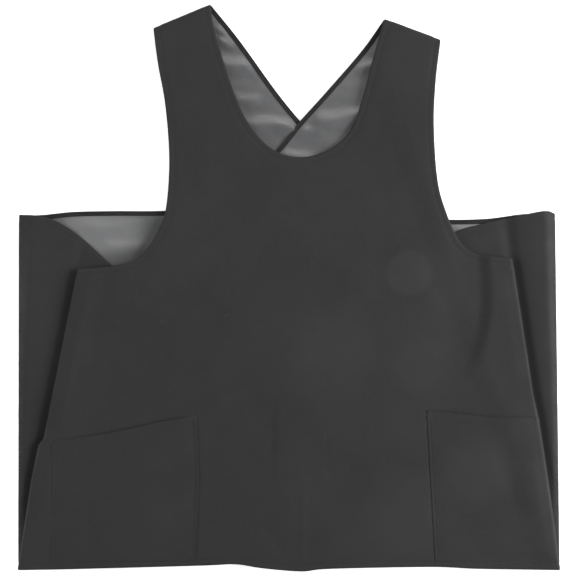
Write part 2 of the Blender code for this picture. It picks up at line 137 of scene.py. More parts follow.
LEFT_POCKET_OUTER = [(-370, POCKET_FOOT_Y), (-367, -350), (-363, -290), (-362, -236)]
RIGHT_POCKET_MOUTH = [(214, -190), (268, -195), (315, -200), (383.7, -201)]
RIGHT_POCKET_OUTER = [(383.7, -201), (418.1, POCKET_FOOT_Y)]     # caught in the crease
RIGHT_POCKET_INNER = [(227.5, POCKET_FOOT_Y), (214, -190)]

# ---- meshing ----------------------------------------------------------------------------
STEP = 5.0                      # usual distance between two points of a pattern
COARSE = 8.0                    # the same for plies that nobody sees
EDGE_ROWS = (0.2, 0.6, 1.1, 1.8, 2.7, 4.4, 6.2, 7.4, 8.5, 9.6, 11.0, 13.0, 15.5)
TAPE_ROWS = (0.4, 1.4, 2.5)
ARC_ROWS = 6                    # rows of points in a quarter turn
CHUNK = 4000
BOX_TURN = 5                    # degrees between the boxes that are tried round a pattern
MITRE_LIMIT = 0.5
ON_EDGE = 0.05                  # a point this close to a finished edge lies on it
NEAR_END = 0.02                 # share of a seam in which it gets no new point
SEAM_SHARES = np.arange(0, 1, 0.25)
ROW_TO_ARC = 0.3
ROW_TO_SEAM = 0.8
ROW_SHARE = 0.97                # share of its own distance that a row keeps from other edges
MERGE = 1e-4
SHARP = 55                      # degrees between faces that are shaded apart
# Room that points keep, as shares of the step
FOLD_TO_SEAM = 0.45
FOLD_TO_RIM = 0.3
EXTRA_TO_SEAM = 0.3
GRID_TO_SEAM = 0.55
GRID_TO_ARC = 0.4
GRID_TO_RIM = 0.5
GRID_HEIGHT = 0.866             # height of a triangle whose three sides are 1

# ---- sewn edges -------------------------------------------------------------------------
TURN = 2.6                      # how far in the turned edge is rounded
TURN_MIDDLE = 0.6               # height of the outermost point of the turn
WRAP = ((0.10, 0.05), (0.40, -0.45), (1.7, TAPE_FACE - 0.05))
WRAP_END = (2.2, -0.45)         # the cover's raw edge, turned in behind the tape
STITCH_LINE = 8.5               # topstitching, in from the edge
STITCH_DEPTH = 0.25
STITCH_WIDTH = 1.1
BAND_DROP = 0.3                 # the stitched band is this much thinner than the shielded body
SINGLE_BAND_DROP = 0.2          # the same where there is one ply
BAND = (9.5, 15.0)
PUCKER = 0.16
PUCKER_LENGTH = 11.0
PUCKER_REACH = 7.0
PUCKER_LEAST = 0.4
# Noise: its amount, the size of its features, and its seed
PUCKER_DRIFT = (0.35, 60.0, 3.1)
PUCKER_CHANGE = (0.9, 45.0, 7.7)
COVER_TEXTURE = (0.22, 28.0, 1.3)
POCKET_TEXTURE = (0.2, 26.0, 4.4)
TEXTURE_START = (4.0, 20.0)
TAPE_START = 2.4
TAPE_END = 7.5
TAPE_STITCH = 5.6
TAPE_CROWN = 0.15
TAPE_MIDDLE = 2.5
TAPE_CROWN_WIDTH = 1.6
TAPE_WAVE = 0.08
TAPE_WAVE_LENGTH = 7.0
TAPE_ROOM = 1.0                 # between a facing tape's end and the tape that it meets
LINING_START = 2.8
END_POINTS = 2                  # stitches and mouth tapes stop so many points before an end


# ---- small maths ------------------------------------------------------------------------
def ramp(value, low, high):
    """A smooth step from 0 at low to 1 at high."""
    share = np.clip((value - low) / (high - low), 0, 1)
    return share * share * (3 - 2 * share)


def bell(value, width):
    return np.exp(-(value / width) ** 2)


def left_of(vectors):
    return np.stack((-vectors[..., 1], vectors[..., 0]), axis=-1)


def unit(vectors):
    return vectors / np.linalg.norm(vectors, axis=-1, keepdims=True)


def ripple(plan, amount, size, seed):
    """Smooth noise over the plan, up and down by about this amount."""
    return amount * np.array([noise.noise(Vector((x / size, y / size, seed))) for x, y in plan])


# ---- lines and folds --------------------------------------------------------------------
class Line:
    """A straight line in the plan. Its normal points away from `inside`."""

    def __init__(self, start, end, inside=(0, 0)):
        self.point = np.array(start, float)
        self.along = unit(np.array(end, float) - self.point)
        normal = -left_of(self.along)
        away = np.dot(normal, np.array(inside, float) - self.point) <= 0
        self.normal = normal if away else -normal

    def distance(self, plan):
        return (np.asarray(plan) - self.point) @ self.normal

    def flip(self, plan):
        return plan - 2 * np.multiply.outer(self.distance(plan), self.normal)

    def meet(self, plan, direction):
        """Slide a point along a direction until it is half a seam gap short of the line."""
        reach = (-SEAM - self.distance(plan)) / (direction @ self.normal)
        return plan + direction * reach

    def at(self, y, offset):
        """The point at this y on the line moved sideways by the offset."""
        start = self.point + self.normal * offset
        return start + self.along * (y - start[1]) / self.along[1]


# Each: crease, how far it stands out, and the stretch of y over which that begins
CREASE_JOGS = ((Line(*LEFT_CREASE), 6.0, -232.0, -246.0),
               (Line(*RIGHT_CREASE), 2.2, -160.0, -205.0))
JOG_ROOM = 0.16                 # room between crease and outer fold, for each mm above the hem
JOG_FULL_ROOM = 22.0
JOG_FADE = (10.0, 45.0)         # the front keeps its place further inside than this


class Fold(Line):
    """A fold line. Cloth beyond it turns over, upwards or downwards, round an arc."""

    def __init__(self, ends, radius, up, inside=(0, 0), after=None):
        super().__init__(*ends, inside)
        self.radius = radius
        self.rise = 1 if up else -1
        self.half_arc = radius * math.pi / 2
        self.after = after

    def rows(self):
        """Lines across the flat pattern where the arc has rows of points."""
        for step in range(-ARC_ROWS, ARC_ROWS + 1):
            point = self.point + self.normal * self.half_arc * step / ARC_ROWS
            normal, along = self.normal, self.along
            if self.after:
                normal = self.after.flip(point + normal) - self.after.flip(point)
                along = self.after.flip(point + along) - self.after.flip(point)
                point = self.after.flip(point)
            yield point, normal, along

    def reach(self, plan):
        """How far the points of a flat pattern are from the middle of the arc."""
        if self.after:
            beyond = self.after.distance(plan) > 0
            plan = np.where(beyond[:, None], self.after.flip(plan), plan)
            return np.where(beyond, np.abs(self.distance(plan)), FAR)
        return np.abs(self.distance(plan))


def lay(plan, height, level, facing=1, folds=()):
    """Fold a flat pattern: points at a height above the lining's inner face, in metres."""
    plan = np.array(plan, float)
    height = np.broadcast_to(height, len(plan)).astype(float)
    base = level(plan)
    face = np.full(len(plan), float(facing))
    going = np.ones(len(plan), bool)
    up = np.zeros(len(plan))
    passed = {}
    for fold in folds:
        here = going & passed[fold.after] if fold.after else going.copy()
        distance = fold.distance(plan)
        over = here & (distance >= fold.half_arc)
        arc = here & (np.abs(distance) < fold.half_arc)
        angle = (distance + fold.half_arc) / fold.radius
        radius = fold.radius - fold.rise * face * height
        out = radius * np.sin(angle) - fold.half_arc
        lifted = base + fold.rise * (fold.radius - radius * np.cos(angle))
        up[arc] = lifted[arc]
        bent = plan + np.multiply.outer(out - distance, fold.normal)
        plan = np.where(arc[:, None], bent, np.where(over[:, None], fold.flip(plan), plan))
        base = np.where(over, base + 2 * fold.rise * fold.radius, base)
        face = np.where(over, -face, face)
        going &= ~arc
        passed[fold] = over
    up[going] = (base + face * height)[going]
    return np.column_stack((stood_out(plan) - ORIGIN, up)) * MM


def stood_out(plan):
    """The creases stand out a little beside the pockets, whose cloth is caught in them."""
    moved = plan.copy()
    for crease, amount, start, end in CREASE_JOGS:
        inside = -crease.distance(plan)
        room = np.maximum(plan[:, 1] - LEFT_HEM_CORNER[1], 0) * JOG_ROOM
        beside = np.where(inside > 0, 1 - ramp(inside, *JOG_FADE), 1 - ramp(-inside, 0, room + 1))
        height = (1 - ramp(plan[:, 1], end, start)) * np.minimum(room / JOG_FULL_ROOM, 1)
        moved += np.multiply.outer(amount * beside * height, crease.normal)
    return moved


# ---- paths ------------------------------------------------------------------------------
def smooth(points, step=STEP):
    """A smooth curve through the points, as an evenly divided path."""
    path = np.array(points, float)
    before = np.vstack((2 * path[0] - path[1], path[:-1]))
    after = np.vstack((path[1:], 2 * path[-1] - path[-2]))
    curve = []
    for index in range(len(path) - 1):
        start, end = path[index], path[index + 1]
        leave = (after[index] - before[index]) / 2
        arrive = (after[index + 1] - before[index + 1]) / 2
        count = max(1, round(float(np.linalg.norm(end - start)) / step))
        for t in np.arange(count) / count:
            curve.append((2 * t**3 - 3 * t**2 + 1) * start + (t**3 - 2 * t**2 + t) * leave
                         + (3 * t**2 - 2 * t**3) * end + (t**3 - t**2) * arrive)
    return np.array(curve + [path[-1]])


def straight(points, step=STEP):
    """A path of straight sides, evenly divided."""
    path = np.array(points, float)
    divided = []
    for start, end in zip(path[:-1], path[1:]):
        count = max(1, round(float(np.linalg.norm(end - start)) / step))
        divided += [start + (end - start) * share for share in np.arange(count) / count]
    return np.array(divided + [path[-1]])


def offset(path, margin, side):
    """The path moved sideways; side is 1 to its left and -1 to its right."""
    along = np.vstack((path[1] - path[0], path[2:] - path[:-2], path[-1] - path[-2]))
    return path + left_of(unit(along)) * margin * side


def ends_at(path, start_line=None, end_line=None):
    """The path with its two ends slid onto the seams that it runs between."""
    path = path.copy()
    if start_line:
        path[0] = start_line.meet(path[0], path[1] - path[0])
    if end_line:
        path[-1] = end_line.meet(path[-1], path[-1] - path[-2])
    return path


def ribbon(path, side, lines, start, end):
    """Outline of a strip that follows a path, from start to end in from it."""
    outer = ends_at(offset(path, start, side), *lines)
    inner = ends_at(offset(path, end, side), *lines)
    return np.vstack((outer, inner[::-1]))


def inset(outline, margin):
    """A closed outline with every side moved inwards."""
    before = unit(outline - np.roll(outline, 1, axis=0))
    after = unit(np.roll(outline, -1, axis=0) - outline)
    turn = 1 if area_of(outline) > 0 else -1
    normal = left_of(unit(before + after)) * turn
    side = left_of(after) * turn
    stretch = np.maximum((normal * side).sum(axis=1), MITRE_LIMIT)
    return outline + normal * (margin / stretch)[:, None]


def area_of(outline):
    """Signed area in square millimetres, positive for a path that runs to the left."""
    following = np.roll(outline, -1, axis=0)
    return float((outline[:, 0] * following[:, 1] - following[:, 0] * outline[:, 1]).sum() / 2)


def flat_size(outline):
    """Width and length in metres of the smallest upright or slanted box round a pattern."""
    best = None
    for degrees in range(0, 90, BOX_TURN):
        turn = math.radians(degrees)
        spin = np.array(((math.cos(turn), -math.sin(turn)), (math.sin(turn), math.cos(turn))))
        size = np.ptp(outline @ spin, axis=0)
        if best is None or size.prod() < best.prod():
            best = size
    return tuple(best * MM)


def length_of(path):
    return float(np.linalg.norm(np.diff(path, axis=0), axis=1).sum())


def crossed(path, lines):
    """The path with a point wherever it crosses a line, and a mark on each of those."""
    if not lines:
        return path, np.zeros(len(path), bool)
    points = np.array([line[0] for line in lines])
    normals = np.array([line[1] for line in lines])
    reach = path @ normals.T - (points * normals).sum(axis=1)
    segment, line = np.nonzero(reach[:-1] * reach[1:] < 0)
    first, last = reach[segment, line], reach[segment + 1, line]
    place = np.concatenate((np.arange(len(path)), segment + first / (first - last)))
    order = np.argsort(place, kind="stable")
    place = place[order]
    index = np.arange(len(path))
    result = np.column_stack([np.interp(place, index, path[:, axis]) for axis in (0, 1)])
    return result, order >= len(path)


def tree_of(points):
    tree = KDTree(len(points))
    for index, (x, y) in enumerate(points):
        tree.insert((x, y, 0), index)
    tree.balance()
    return tree


def from_path(plan, path, side=1):
    """Distance of each point from a path, place along it, direction inwards and signed side."""
    tree = tree_of(path)
    nearest = np.array([tree.find((x, y, 0))[1] for x, y in plan], int)
    length = np.maximum(np.linalg.norm(np.diff(path, axis=0), axis=1), TINY)
    along = np.diff(path, axis=0) / length[:, None]
    run = np.concatenate(((0,), np.cumsum(length)))
    found = None
    for shift in (-1, 0):
        part = np.clip(nearest + shift, 0, len(path) - 2)
        gap = plan - path[part]
        reach = np.clip((gap * along[part]).sum(axis=1), 0, length[part])
        gap = gap - reach[:, None] * along[part]
        inward = left_of(along[part]) * side
        signed = (gap * inward).sum(axis=1)
        row = np.column_stack((np.linalg.norm(gap, axis=1), run[part] + reach, inward, signed))
        found = row if found is None else np.where((row[:, 0] < found[:, 0])[:, None], row, found)
    return found[:, 0], found[:, 1], found[:, 2:4], found[:, 4]


def from_edges(plan, edges):
    """The same for the nearest of several finished edges."""
    best = np.full(len(plan), FAR)
    along, inward = np.zeros(len(plan)), np.zeros((len(plan), 2))
    for path, side in edges:
        distance, place, direction, _ = from_path(plan, path, side)
        nearer = distance < best
        best = np.where(nearer, distance, best)
        along = np.where(nearer, place, along)
        inward = np.where(nearer[:, None], direction, inward)
    return best, along, inward


def within(plan, outline):
    """Which points lie inside a closed outline."""
    following = np.roll(outline, -1, axis=0)
    run, climb = (following - outline).T
    climb = np.where(np.abs(climb) < TINY, TINY, climb)
    answers = []
    for first in range(0, len(plan), CHUNK):
        x, y = plan[first:first + CHUNK].T
        spans = (outline[:, 1] > y[:, None]) != (following[:, 1] > y[:, None])
        where = outline[:, 0] + (y[:, None] - outline[:, 1]) * run / climb
        answers.append((spans & (x[:, None] < where)).sum(axis=1) % 2 == 1)
    return np.concatenate(answers)


# ---- meshing a pattern ------------------------------------------------------------------
def divided_seams(outline, edges, rows):
    """The closed outline with points where its seams cross the rows along finished edges."""
    if not edges:
        return outline
    distance = from_edges(outline, edges)[0]
    points = []
    for index, start in enumerate(outline):
        end = outline[(index + 1) % len(outline)]
        near, far = distance[index], distance[(index + 1) % len(outline)]
        points.append(start)
        if abs(far - near) > EDGE_ROWS[0]:
            shares = sorted((row - near) / (far - near) for row in rows)
            points += [start + (end - start) * share for share in shares
                       if NEAR_END < share < 1 - NEAR_END]
    return np.array(points)


def meshed(outline, edges=(), folds=(), step=STEP, rows=EDGE_ROWS, extra=()):
    """Triangles that fill a pattern, with rows of points along edges, folds and extra lines."""
    if area_of(outline) < 0:
        outline = outline[::-1]
    lines = [line for fold in folds for line in fold.rows()]
    outline = divided_seams(outline, edges, rows)
    outline = crossed(np.vstack((outline, outline[:1])), lines)[0][:-1]
    closed = np.vstack((outline, outline[:1]))
    edge_gap = from_edges((closed[1:] + closed[:-1]) / 2, edges)[0] if edges else None
    seams = [closed[i:i + 2] for i in range(len(outline)) if not edges or edge_gap[i] > ON_EDGE]
    seams = seams or [closed[:2]]
    shares = SEAM_SHARES[:, None]
    seam_tree = tree_of(np.vstack([seam[0] + (seam[1] - seam[0]) * shares for seam in seams]))
    points = [outline]

    def clear_of_seams(plan, gap):
        return np.array([seam_tree.find((x, y, 0))[2] > gap for x, y in plan], bool)

    def free_of_arcs(plan, margin):
        free = np.ones(len(plan), bool)
        for fold in folds:
            free &= fold.reach(plan) > fold.half_arc + margin
        return free

    for path, side in edges:
        for row in rows:
            line, on_fold = crossed(offset(path, row, side), lines)
            keep = on_fold | free_of_arcs(line, ROW_TO_ARC)
            keep &= within(line, outline) & clear_of_seams(line, ROW_TO_SEAM)
            keep &= from_edges(line, edges)[0] > ROW_SHARE * row
            points.append(line[keep])
    rim = rows[-1] if edges else 0
    span = np.ptp(outline, axis=0)
    count = int(np.linalg.norm(span) / step)
    middle = outline.mean(axis=0)
    for point, _, along in lines:
        start = point + along * ((middle - point) @ along)
        line = start + np.multiply.outer(np.arange(-count, count) * step, along)
        keep = within(line, outline) & clear_of_seams(line, FOLD_TO_SEAM * step)
        if edges:
            keep &= from_edges(line, edges)[0] > rim + FOLD_TO_RIM * step
        points.append(line[keep])
    for line in extra:
        keep = within(line, outline) & clear_of_seams(line, EXTRA_TO_SEAM * step)
        points.append(line[keep])
    low = outline.min(axis=0)
    columns = int(span[0] / step) + 2
    rows_up = int(span[1] / (step * GRID_HEIGHT)) + 2
    column, row_up = np.meshgrid(np.arange(columns), np.arange(rows_up))
    grid = np.stack((column + (row_up % 2) / 2, row_up * GRID_HEIGHT), axis=-1)
    grid = grid.reshape(-1, 2) * step + low
    grid = grid[within(grid, outline)]
    keep = clear_of_seams(grid, GRID_TO_SEAM * step) & free_of_arcs(grid, GRID_TO_ARC * step)
    if edges:
        keep &= from_edges(grid, edges)[0] > rim + GRID_TO_RIM * step
    points.append(grid[keep])
    border = [(i, (i + 1) % len(outline)) for i in range(len(outline))]
    cloud = [Vector(point) for point in np.vstack(points)]
    vertices, _, faces = delaunay_2d_cdt(cloud, border, [], 0, MERGE, False)[:3]
    vertices, faces = np.array([tuple(vertex) for vertex in vertices]), np.array(faces)
    faces = faces[within(vertices[faces].mean(axis=1), outline)]
    used, faces = np.unique(faces, return_inverse=True)
    return vertices[used], faces.reshape(-1, 3)


def border_of(faces):
    """The directed edges round the outside of a triangulation."""
    edges = np.vstack((faces[:, (0, 1)], faces[:, (1, 2)], faces[:, (2, 0)]))
    known = {tuple(edge) for edge in edges.tolist()}
    return [(a, b) for a, b in edges.tolist() if (b, a) not in known]


# ---- making a piece ---------------------------------------------------------------------
def in_scene(name, data, location=(0, 0, 0)):
    """An object in the scene that shows this data."""
    thing = bpy.data.objects.new(name, data)
    thing.location = location
    bpy.context.scene.collection.objects.link(thing)
    return thing


def piece_from(name, vertices, faces, surface):
    mesh = bpy.data.meshes.new(name)
    mesh.from_pydata(vertices, [], faces)
    mesh.polygons.foreach_set("use_smooth", [True] * len(mesh.polygons))
    mesh.set_sharp_from_angle(angle=math.radians(SHARP))
    mesh.materials.append(surface)
    mesh.validate()
    return in_scene(name, mesh)


def slab(name, outline, inner, outer, surface, place, edges=(), step=STEP, rows=EDGE_ROWS,
         wrapped=False, extra=()):
    """A closed sheet between two faces given as heights over the flat pattern."""
    plan, faces = meshed(outline, edges, place.get("folds", ()), step, rows, extra)
    distance, along, inward = from_edges(plan, edges) if edges else (
        np.full(len(plan), FAR), np.zeros(len(plan)), np.zeros((len(plan), 2)))
    top = outer(plan, distance, along)
    bottom = inner(plan, distance, along)
    under = plan.copy()
    rings = []
    border = border_of(faces)
    order = {vertex: index for index, vertex in enumerate(sorted({a for a, _ in border}))}
    rim = np.array(sorted(order))
    if wrapped:
        share = np.clip(distance / TURN, 0, 1)
        shift = np.where(distance < TURN, WRAP_END[0] + share * (TURN - WRAP_END[0]) - distance, 0)
        under = plan + inward * shift[:, None]
        bottom = np.where(distance < TURN, WRAP_END[1] + share * (bottom - WRAP_END[1]), bottom)
        finished = (distance[rim] < ON_EDGE)[:, None]
        for index, (reach, height) in enumerate(WRAP):
            part = (index + 1) / (len(WRAP) + 1)
            between = plan[rim] + (under[rim] - plan[rim]) * part
            ring = np.where(finished, plan[rim] + inward[rim] * reach, between)
            level = np.where(finished[:, 0], height, top[rim] + (bottom[rim] - top[rim]) * part)
            rings.append(lay(ring, level, **place))
    layers = [lay(plan, top, **place), lay(under, bottom, **place)] + rings
    vertices = np.vstack(layers).tolist()
    count = len(plan)
    turned = place.get("facing", 1) < 0
    quads = []
    for start, end in border:
        first, last = order[start], order[end]
        chain = [(start, end)]
        for index in range(len(rings)):
            base = 2 * count + index * len(rim)
            chain.append((base + first, base + last))
        chain.append((count + start, count + end))
        for (a, b), (c, d) in zip(chain[:-1], chain[1:]):
            quads.append((a, c, d, b))
    all_faces = faces.tolist() + (faces[:, ::-1] + count).tolist() + quads
    if turned:
        all_faces = [face[::-1] for face in all_faces]
    return piece_from(name, vertices, all_faces, surface)


def flat(height):
    return lambda plan, distance, along: np.full(len(plan), float(height))


THREAD_SIDES = 5
THREAD_RADIUS = 0.24
STITCH_LENGTH = 3.4
STITCH_GAP = 0.9
STITCH_SHAPE = np.array(((0.0, -0.35, 0.6), (0.2, 0.0, 1.0), (0.5, 0.12, 1.0), (0.8, 0.0, 1.0),
                         (1.0, -0.35, 0.6)))  # share of the length, height, share of the radius


def threads(name, runs):
    """Rows of stitches. Each run is (path, lift, place): lift gives the cloth's face."""
    corners, faces = [], []
    ring = [(math.cos(a), math.sin(a)) for a in np.arange(THREAD_SIDES) * math.tau / THREAD_SIDES]
    for path, lift, place in runs:
        steps = np.linalg.norm(np.diff(path, axis=0), axis=1)
        run = np.concatenate(((0,), np.cumsum(steps)))
        starts = np.arange(STITCH_GAP, run[-1] - STITCH_LENGTH, STITCH_LENGTH + STITCH_GAP)
        spots = (starts[:, None] + STITCH_SHAPE[:, 0] * STITCH_LENGTH).ravel()
        plan = np.column_stack([np.interp(spots, run, path[:, axis]) for axis in (0, 1)])
        sunk = np.tile(STITCH_SHAPE[:, 1], len(starts))
        thick = np.tile(STITCH_SHAPE[:, 2], len(starts)) * THREAD_RADIUS
        height, outward = lift(plan)
        centre = lay(plan, height + outward * sunk, **place)
        above = lay(plan, height + outward * (sunk + 1), **place)
        up = unit(above - centre)
        points = centre.reshape(len(starts), -1, 3)
        ahead = unit(points[:, -1] - points[:, 0])
        ahead = np.repeat(ahead, len(STITCH_SHAPE), axis=0)
        across = unit(np.cross(ahead, up))
        for index in range(len(centre)):
            for x, y in ring:
                side = across[index] * x + up[index] * y
                corners.append(centre[index] + side * thick[index] * MM)
        for stitch in range(len(starts)):
            base = len(corners) - (len(starts) - stitch) * len(STITCH_SHAPE) * THREAD_SIDES
            for row in range(len(STITCH_SHAPE) - 1):
                for k in range(THREAD_SIDES):
                    a = base + row * THREAD_SIDES + k
                    b = base + row * THREAD_SIDES + (k + 1) % THREAD_SIDES
                    faces.append((a, a + THREAD_SIDES, b + THREAD_SIDES, b))
            last = base + (len(STITCH_SHAPE) - 1) * THREAD_SIDES
            faces.append(tuple(base + k for k in range(THREAD_SIDES)))
            faces.append(tuple(last + k for k in reversed(range(THREAD_SIDES))))
    return piece_from(name, np.array(corners).tolist(), faces, thread)


def stitch_row(path, side, margin, lift, place):
    """A run of stitches inside a path, clear of its two ends."""
    return offset(path, margin, side)[END_POINTS:-END_POINTS], lift, place


def on_face(face, edges):
    """A lift onto an outer face whose heights follow these finished edges."""
    def lift(plan):
        distance, along, _ = from_edges(plan, edges)
        return face(plan, distance, along), 1.0
    return lift


# ---- drape ------------------------------------------------------------------------------
LEFT_REST = Line(*LEFT_INNER, inside=(0, 0))
RIGHT_REST = Line(*RIGHT_INNER, inside=(0, 0))
SAG = 6.2
SAG_NEAR = 42.0
SAG_NEAR_SHARE = 0.35
SAG_EDGE = 3.0                  # the front leaves the folded gusset this far inside its edge
SAG_FAR = 120.0
SHOULDER_REACH = 150.0
SIDE_WIDTH = 60.0
SIDE_CROWN = 0.84               # share of the side panel's width at which it stands highest
SIDE_START = 14.0               # the billow starts softly over this stretch
LEFT_SIDE_RISE = 5.0
RIGHT_SIDE_RISE = 6.5
SIDE_DIP = 1.8                  # the side panel is pressed down where it runs under the front
SIDE_DIP_WIDTH = 14.0
SIDE_DIP_START = 12.0           # from the outer fold inwards
SIDE_DIP_ROOM = (10.0, 30.0)    # widths of the panel over which the dip comes in
SIDE_WIDEST = 1.2               # the billow grows with the panel's width up to this
SIDE_HOLLOW = 1.6               # power of a hollow billow's climb
SIDE_TURN = 0.06                # share of the width before the crown where it starts to fall
FREE_TO_FOLD = (4.0, 20.0)      # distance from creases and shoulders where folds come in
FOLD_FADES = (0.25, 0.25)       # shares of a fold's length over which it fades at its ends
FOLD_LEAST = 0.15
FOLD_REACH = 3                  # half widths from its path that a fold reaches
STEP_FADES = (0.2, 0.45)

# Each: height in mm, half width in mm, then the path that it follows
FRONT_FOLDS = (
    (0.7, 15.0, ((329, 44), (333, 0), (340, -40), (348, -90), (356, -140), (362, -180))),
    (0.9, 18.0, ((368, -215), (380, -290), (394, -370), (404, -415))),
    (-0.9, 16.0, ((330, -215), (342, -290), (352, -360))),
    (2.2, 11.0, ((-308, 26), (-316, -14), (-334, -100), (-350, -180), (-360, -240))),
    (0.9, 10.0, ((-364, -262), (-378, -330), (-392, -400))),
    (-1.9, 13.0, ((-280, 20), (-286, -20), (-298, -80), (-312, -140))),
    (0.8, 22.0, ((-240, -6), (-252, -50), (-270, -110))),
    (0.8, 5.0, ((23, -296), (23, -370), (22, -437))),
    (-0.7, 7.0, ((-44, -366), (-22, -392), (-6, -420))),
    (-0.4, 6.0, ((-238, -10), (-222, -16))),
)
# Slopes that face the middle of the front: path, drop, half width of the slope, and where
# past it the cloth comes back to its level
FRONT_STEPS = (
    (((300, 90), (304, 40), (307, 0), (306, -40), (297, -85), (280, -125), (256, -160)),
     6.4, 10.5, (26.0, 110.0)),
    (((-19, -165), (-20, -215), (-21, -265), (-23, -335)), 1.7, 6.0, (10.0, 70.0)),
)


def faded(along, path, fades):
    """0 at a path's two ends and 1 between, with the shares of its length that take it there."""
    length = length_of(path)
    return ramp(along, 0, fades[0] * length) * ramp(length - along, 0, fades[1] * length)


def step_down(plan, points, drop, width, end):
    """A slope that faces to one side of its path, gone at the path's two ends."""
    path = smooth(points)
    gap, along, _, signed = from_path(plan, path, -1)
    past = np.sign(signed) * gap
    slope = -drop * ramp(past, -width, width) * (1 - ramp(past, *end))
    return slope * faded(along, path, STEP_FADES)


def soft_fold(plan, height, width, points):
    """A ridge, or a hollow where the height is negative, that fades out at its ends."""
    path = smooth(points)
    distance, along, _, _ = from_path(plan, path)
    fade = FOLD_LEAST + (1 - FOLD_LEAST) * faded(along, path, FOLD_FADES)
    return height * bell(distance, width) * fade * ramp(FOLD_REACH * width - distance, 0, width)


def front_sag(plan):
    """How far the front has sunk below its level at the folded sides and shoulders."""
    inside_left = -LEFT_REST.distance(plan) + SAG_EDGE
    inside_right = -RIGHT_REST.distance(plan) + SAG_EDGE
    inside = np.minimum(inside_left, inside_right)
    below = np.minimum(-left_shoulder_down.distance(plan), -right_shoulder_down.distance(plan))
    reach = left_shoulder_down.half_arc
    near = SAG_NEAR_SHARE * ramp(inside, 0, SAG_NEAR)
    far = (1 - SAG_NEAR_SHARE) * ramp(inside, 0, SAG_FAR)
    kept = 1 - ramp(below, reach, SHOULDER_REACH)
    return SAG * (near + far) * (1 - kept) + (FRONT_LEVEL - SHOULDER_LEVEL) * kept


def front_level(plan):
    """Height of the front lining's inner face."""
    folds = sum(soft_fold(plan, *fold) for fold in FRONT_FOLDS)
    folds = folds + sum(step_down(plan, *step) for step in FRONT_STEPS)
    shoulders = np.minimum(-left_shoulder_down.distance(plan), -right_shoulder_down.distance(plan))
    creases = np.minimum(-left_crease_down.distance(plan), -right_crease_down.distance(plan))
    free = ramp(np.minimum(shoulders, creases), *FREE_TO_FOLD)
    return FRONT_LEVEL - front_sag(plan) + folds * free


def side_level(crease_ends, outer_ends, rise, hollow):
    """The side panel billows between the crease, where it is pressed down, and the outer fold."""
    crease = Line(*crease_ends)
    outer = Line(*outer_ends)

    def level(plan):
        from_crease = crease.distance(plan)
        from_outer = -outer.distance(plan)
        width = np.maximum(from_crease + from_outer, 1.0)
        share = np.clip(from_crease / width, 0, 1)
        size = np.minimum(width / SIDE_WIDTH, SIDE_WIDEST)
        climb = np.minimum(share / SIDE_CROWN, 1)
        climb = climb ** SIDE_HOLLOW if hollow else 1 - (1 - climb) ** 2
        climb *= ramp(from_crease, 0, SIDE_START) * (1 - ramp(share, SIDE_CROWN - SIDE_TURN, 1))
        billow = rise * size * climb
        dip = SIDE_DIP * ramp(from_outer, 0, SIDE_DIP_START) * ramp(width, *SIDE_DIP_ROOM)
        dip *= ramp(from_crease, -SIDE_DIP_WIDTH, 0) - ramp(from_crease, 0, SIDE_DIP_WIDTH)
        return SIDE_LEVEL + np.where(from_outer > 0, billow, 0) - dip
    return level


def level_at(height):
    return lambda plan: np.full(len(plan), float(height))


def upper_back_level(plan):
    """The left back panel climbs onto the right one; its strap comes down at the shoulder."""
    share = (plan[:, 0] - LEFT_HEM_CORNER[0]) / (-CENTRE_OVERLAP - LEFT_HEM_CORNER[0])
    direction = unit(np.array(RIGHT_STRAP_NECK[0]) - CROSSING)
    drop = ramp((plan - CROSSING) @ direction, *STRAP_DROP)
    rise = OVERLAP_RISE * np.clip(share, 0, 1)
    return BACK_LEVEL + rise - (OVERLAP_RISE - STRAP_END_RISE) * drop


# ---- faces of the covers ----------------------------------------------------------------
def pucker(plan, distance, along, line=STITCH_LINE):
    """Cloth drawn in along a stitched line, in small uneven waves."""
    wave = np.sin(math.tau * (along / PUCKER_LENGTH + ripple(plan, *PUCKER_DRIFT)))
    strength = PUCKER_LEAST + np.abs(ripple(plan, *PUCKER_CHANGE))
    return PUCKER * wave * strength * bell(distance - line, PUCKER_REACH)


def cover_face(top, drop=BAND_DROP):
    """Outer face of a cover: full over the shield, thinner in the stitched band, turned edge."""
    def face(plan, distance, along):
        body = top - drop * (1 - ramp(distance, *BAND))
        body -= STITCH_DEPTH * bell(distance - STITCH_LINE, STITCH_WIDTH)
        body += pucker(plan, distance, along)
        body += ripple(plan, *COVER_TEXTURE) * ramp(distance, *TEXTURE_START)
        share = np.clip(distance / TURN, 0, 1)
        turned = TURN_MIDDLE + (body - TURN_MIDDLE) * np.sqrt(1 - (1 - share) ** 2)
        return np.where(distance < TURN, turned, body)
    return face


def pressed(face, limit):
    """A face that rests on the table stays flat on it."""
    return lambda plan, distance, along: np.minimum(face(plan, distance, along), limit)


def below(face, thickness):
    return lambda plan, distance, along: face(plan, distance, along) - thickness


def tape_face(plan, distance, along):
    """The visible face of a facing tape: a low crown along its middle, slightly wavy."""
    crown = TAPE_CROWN * bell(distance - TAPE_MIDDLE, TAPE_CROWN_WIDTH)
    wave = TAPE_WAVE * np.sin(math.tau * along / TAPE_WAVE_LENGTH)
    return TAPE_FACE - (crown + wave)


# ---- materials --------------------------------------------------------------------------
SHEEN_ROUGHNESS = 0.5
WAVE_PITCH = math.tau / 20      # distance between the ribs of a wave texture of scale 1
RIB_WOBBLE = 0.6
MIX_SHARE, MIX_FIRST, MIX_SECOND, MIX_RESULT = 0, 6, 7, 2       # sockets of a colour mix
BLOTCHES = (0.3, 0.7)           # the values between which most of a noise lies
SPECKLE_SHARE = 0.3


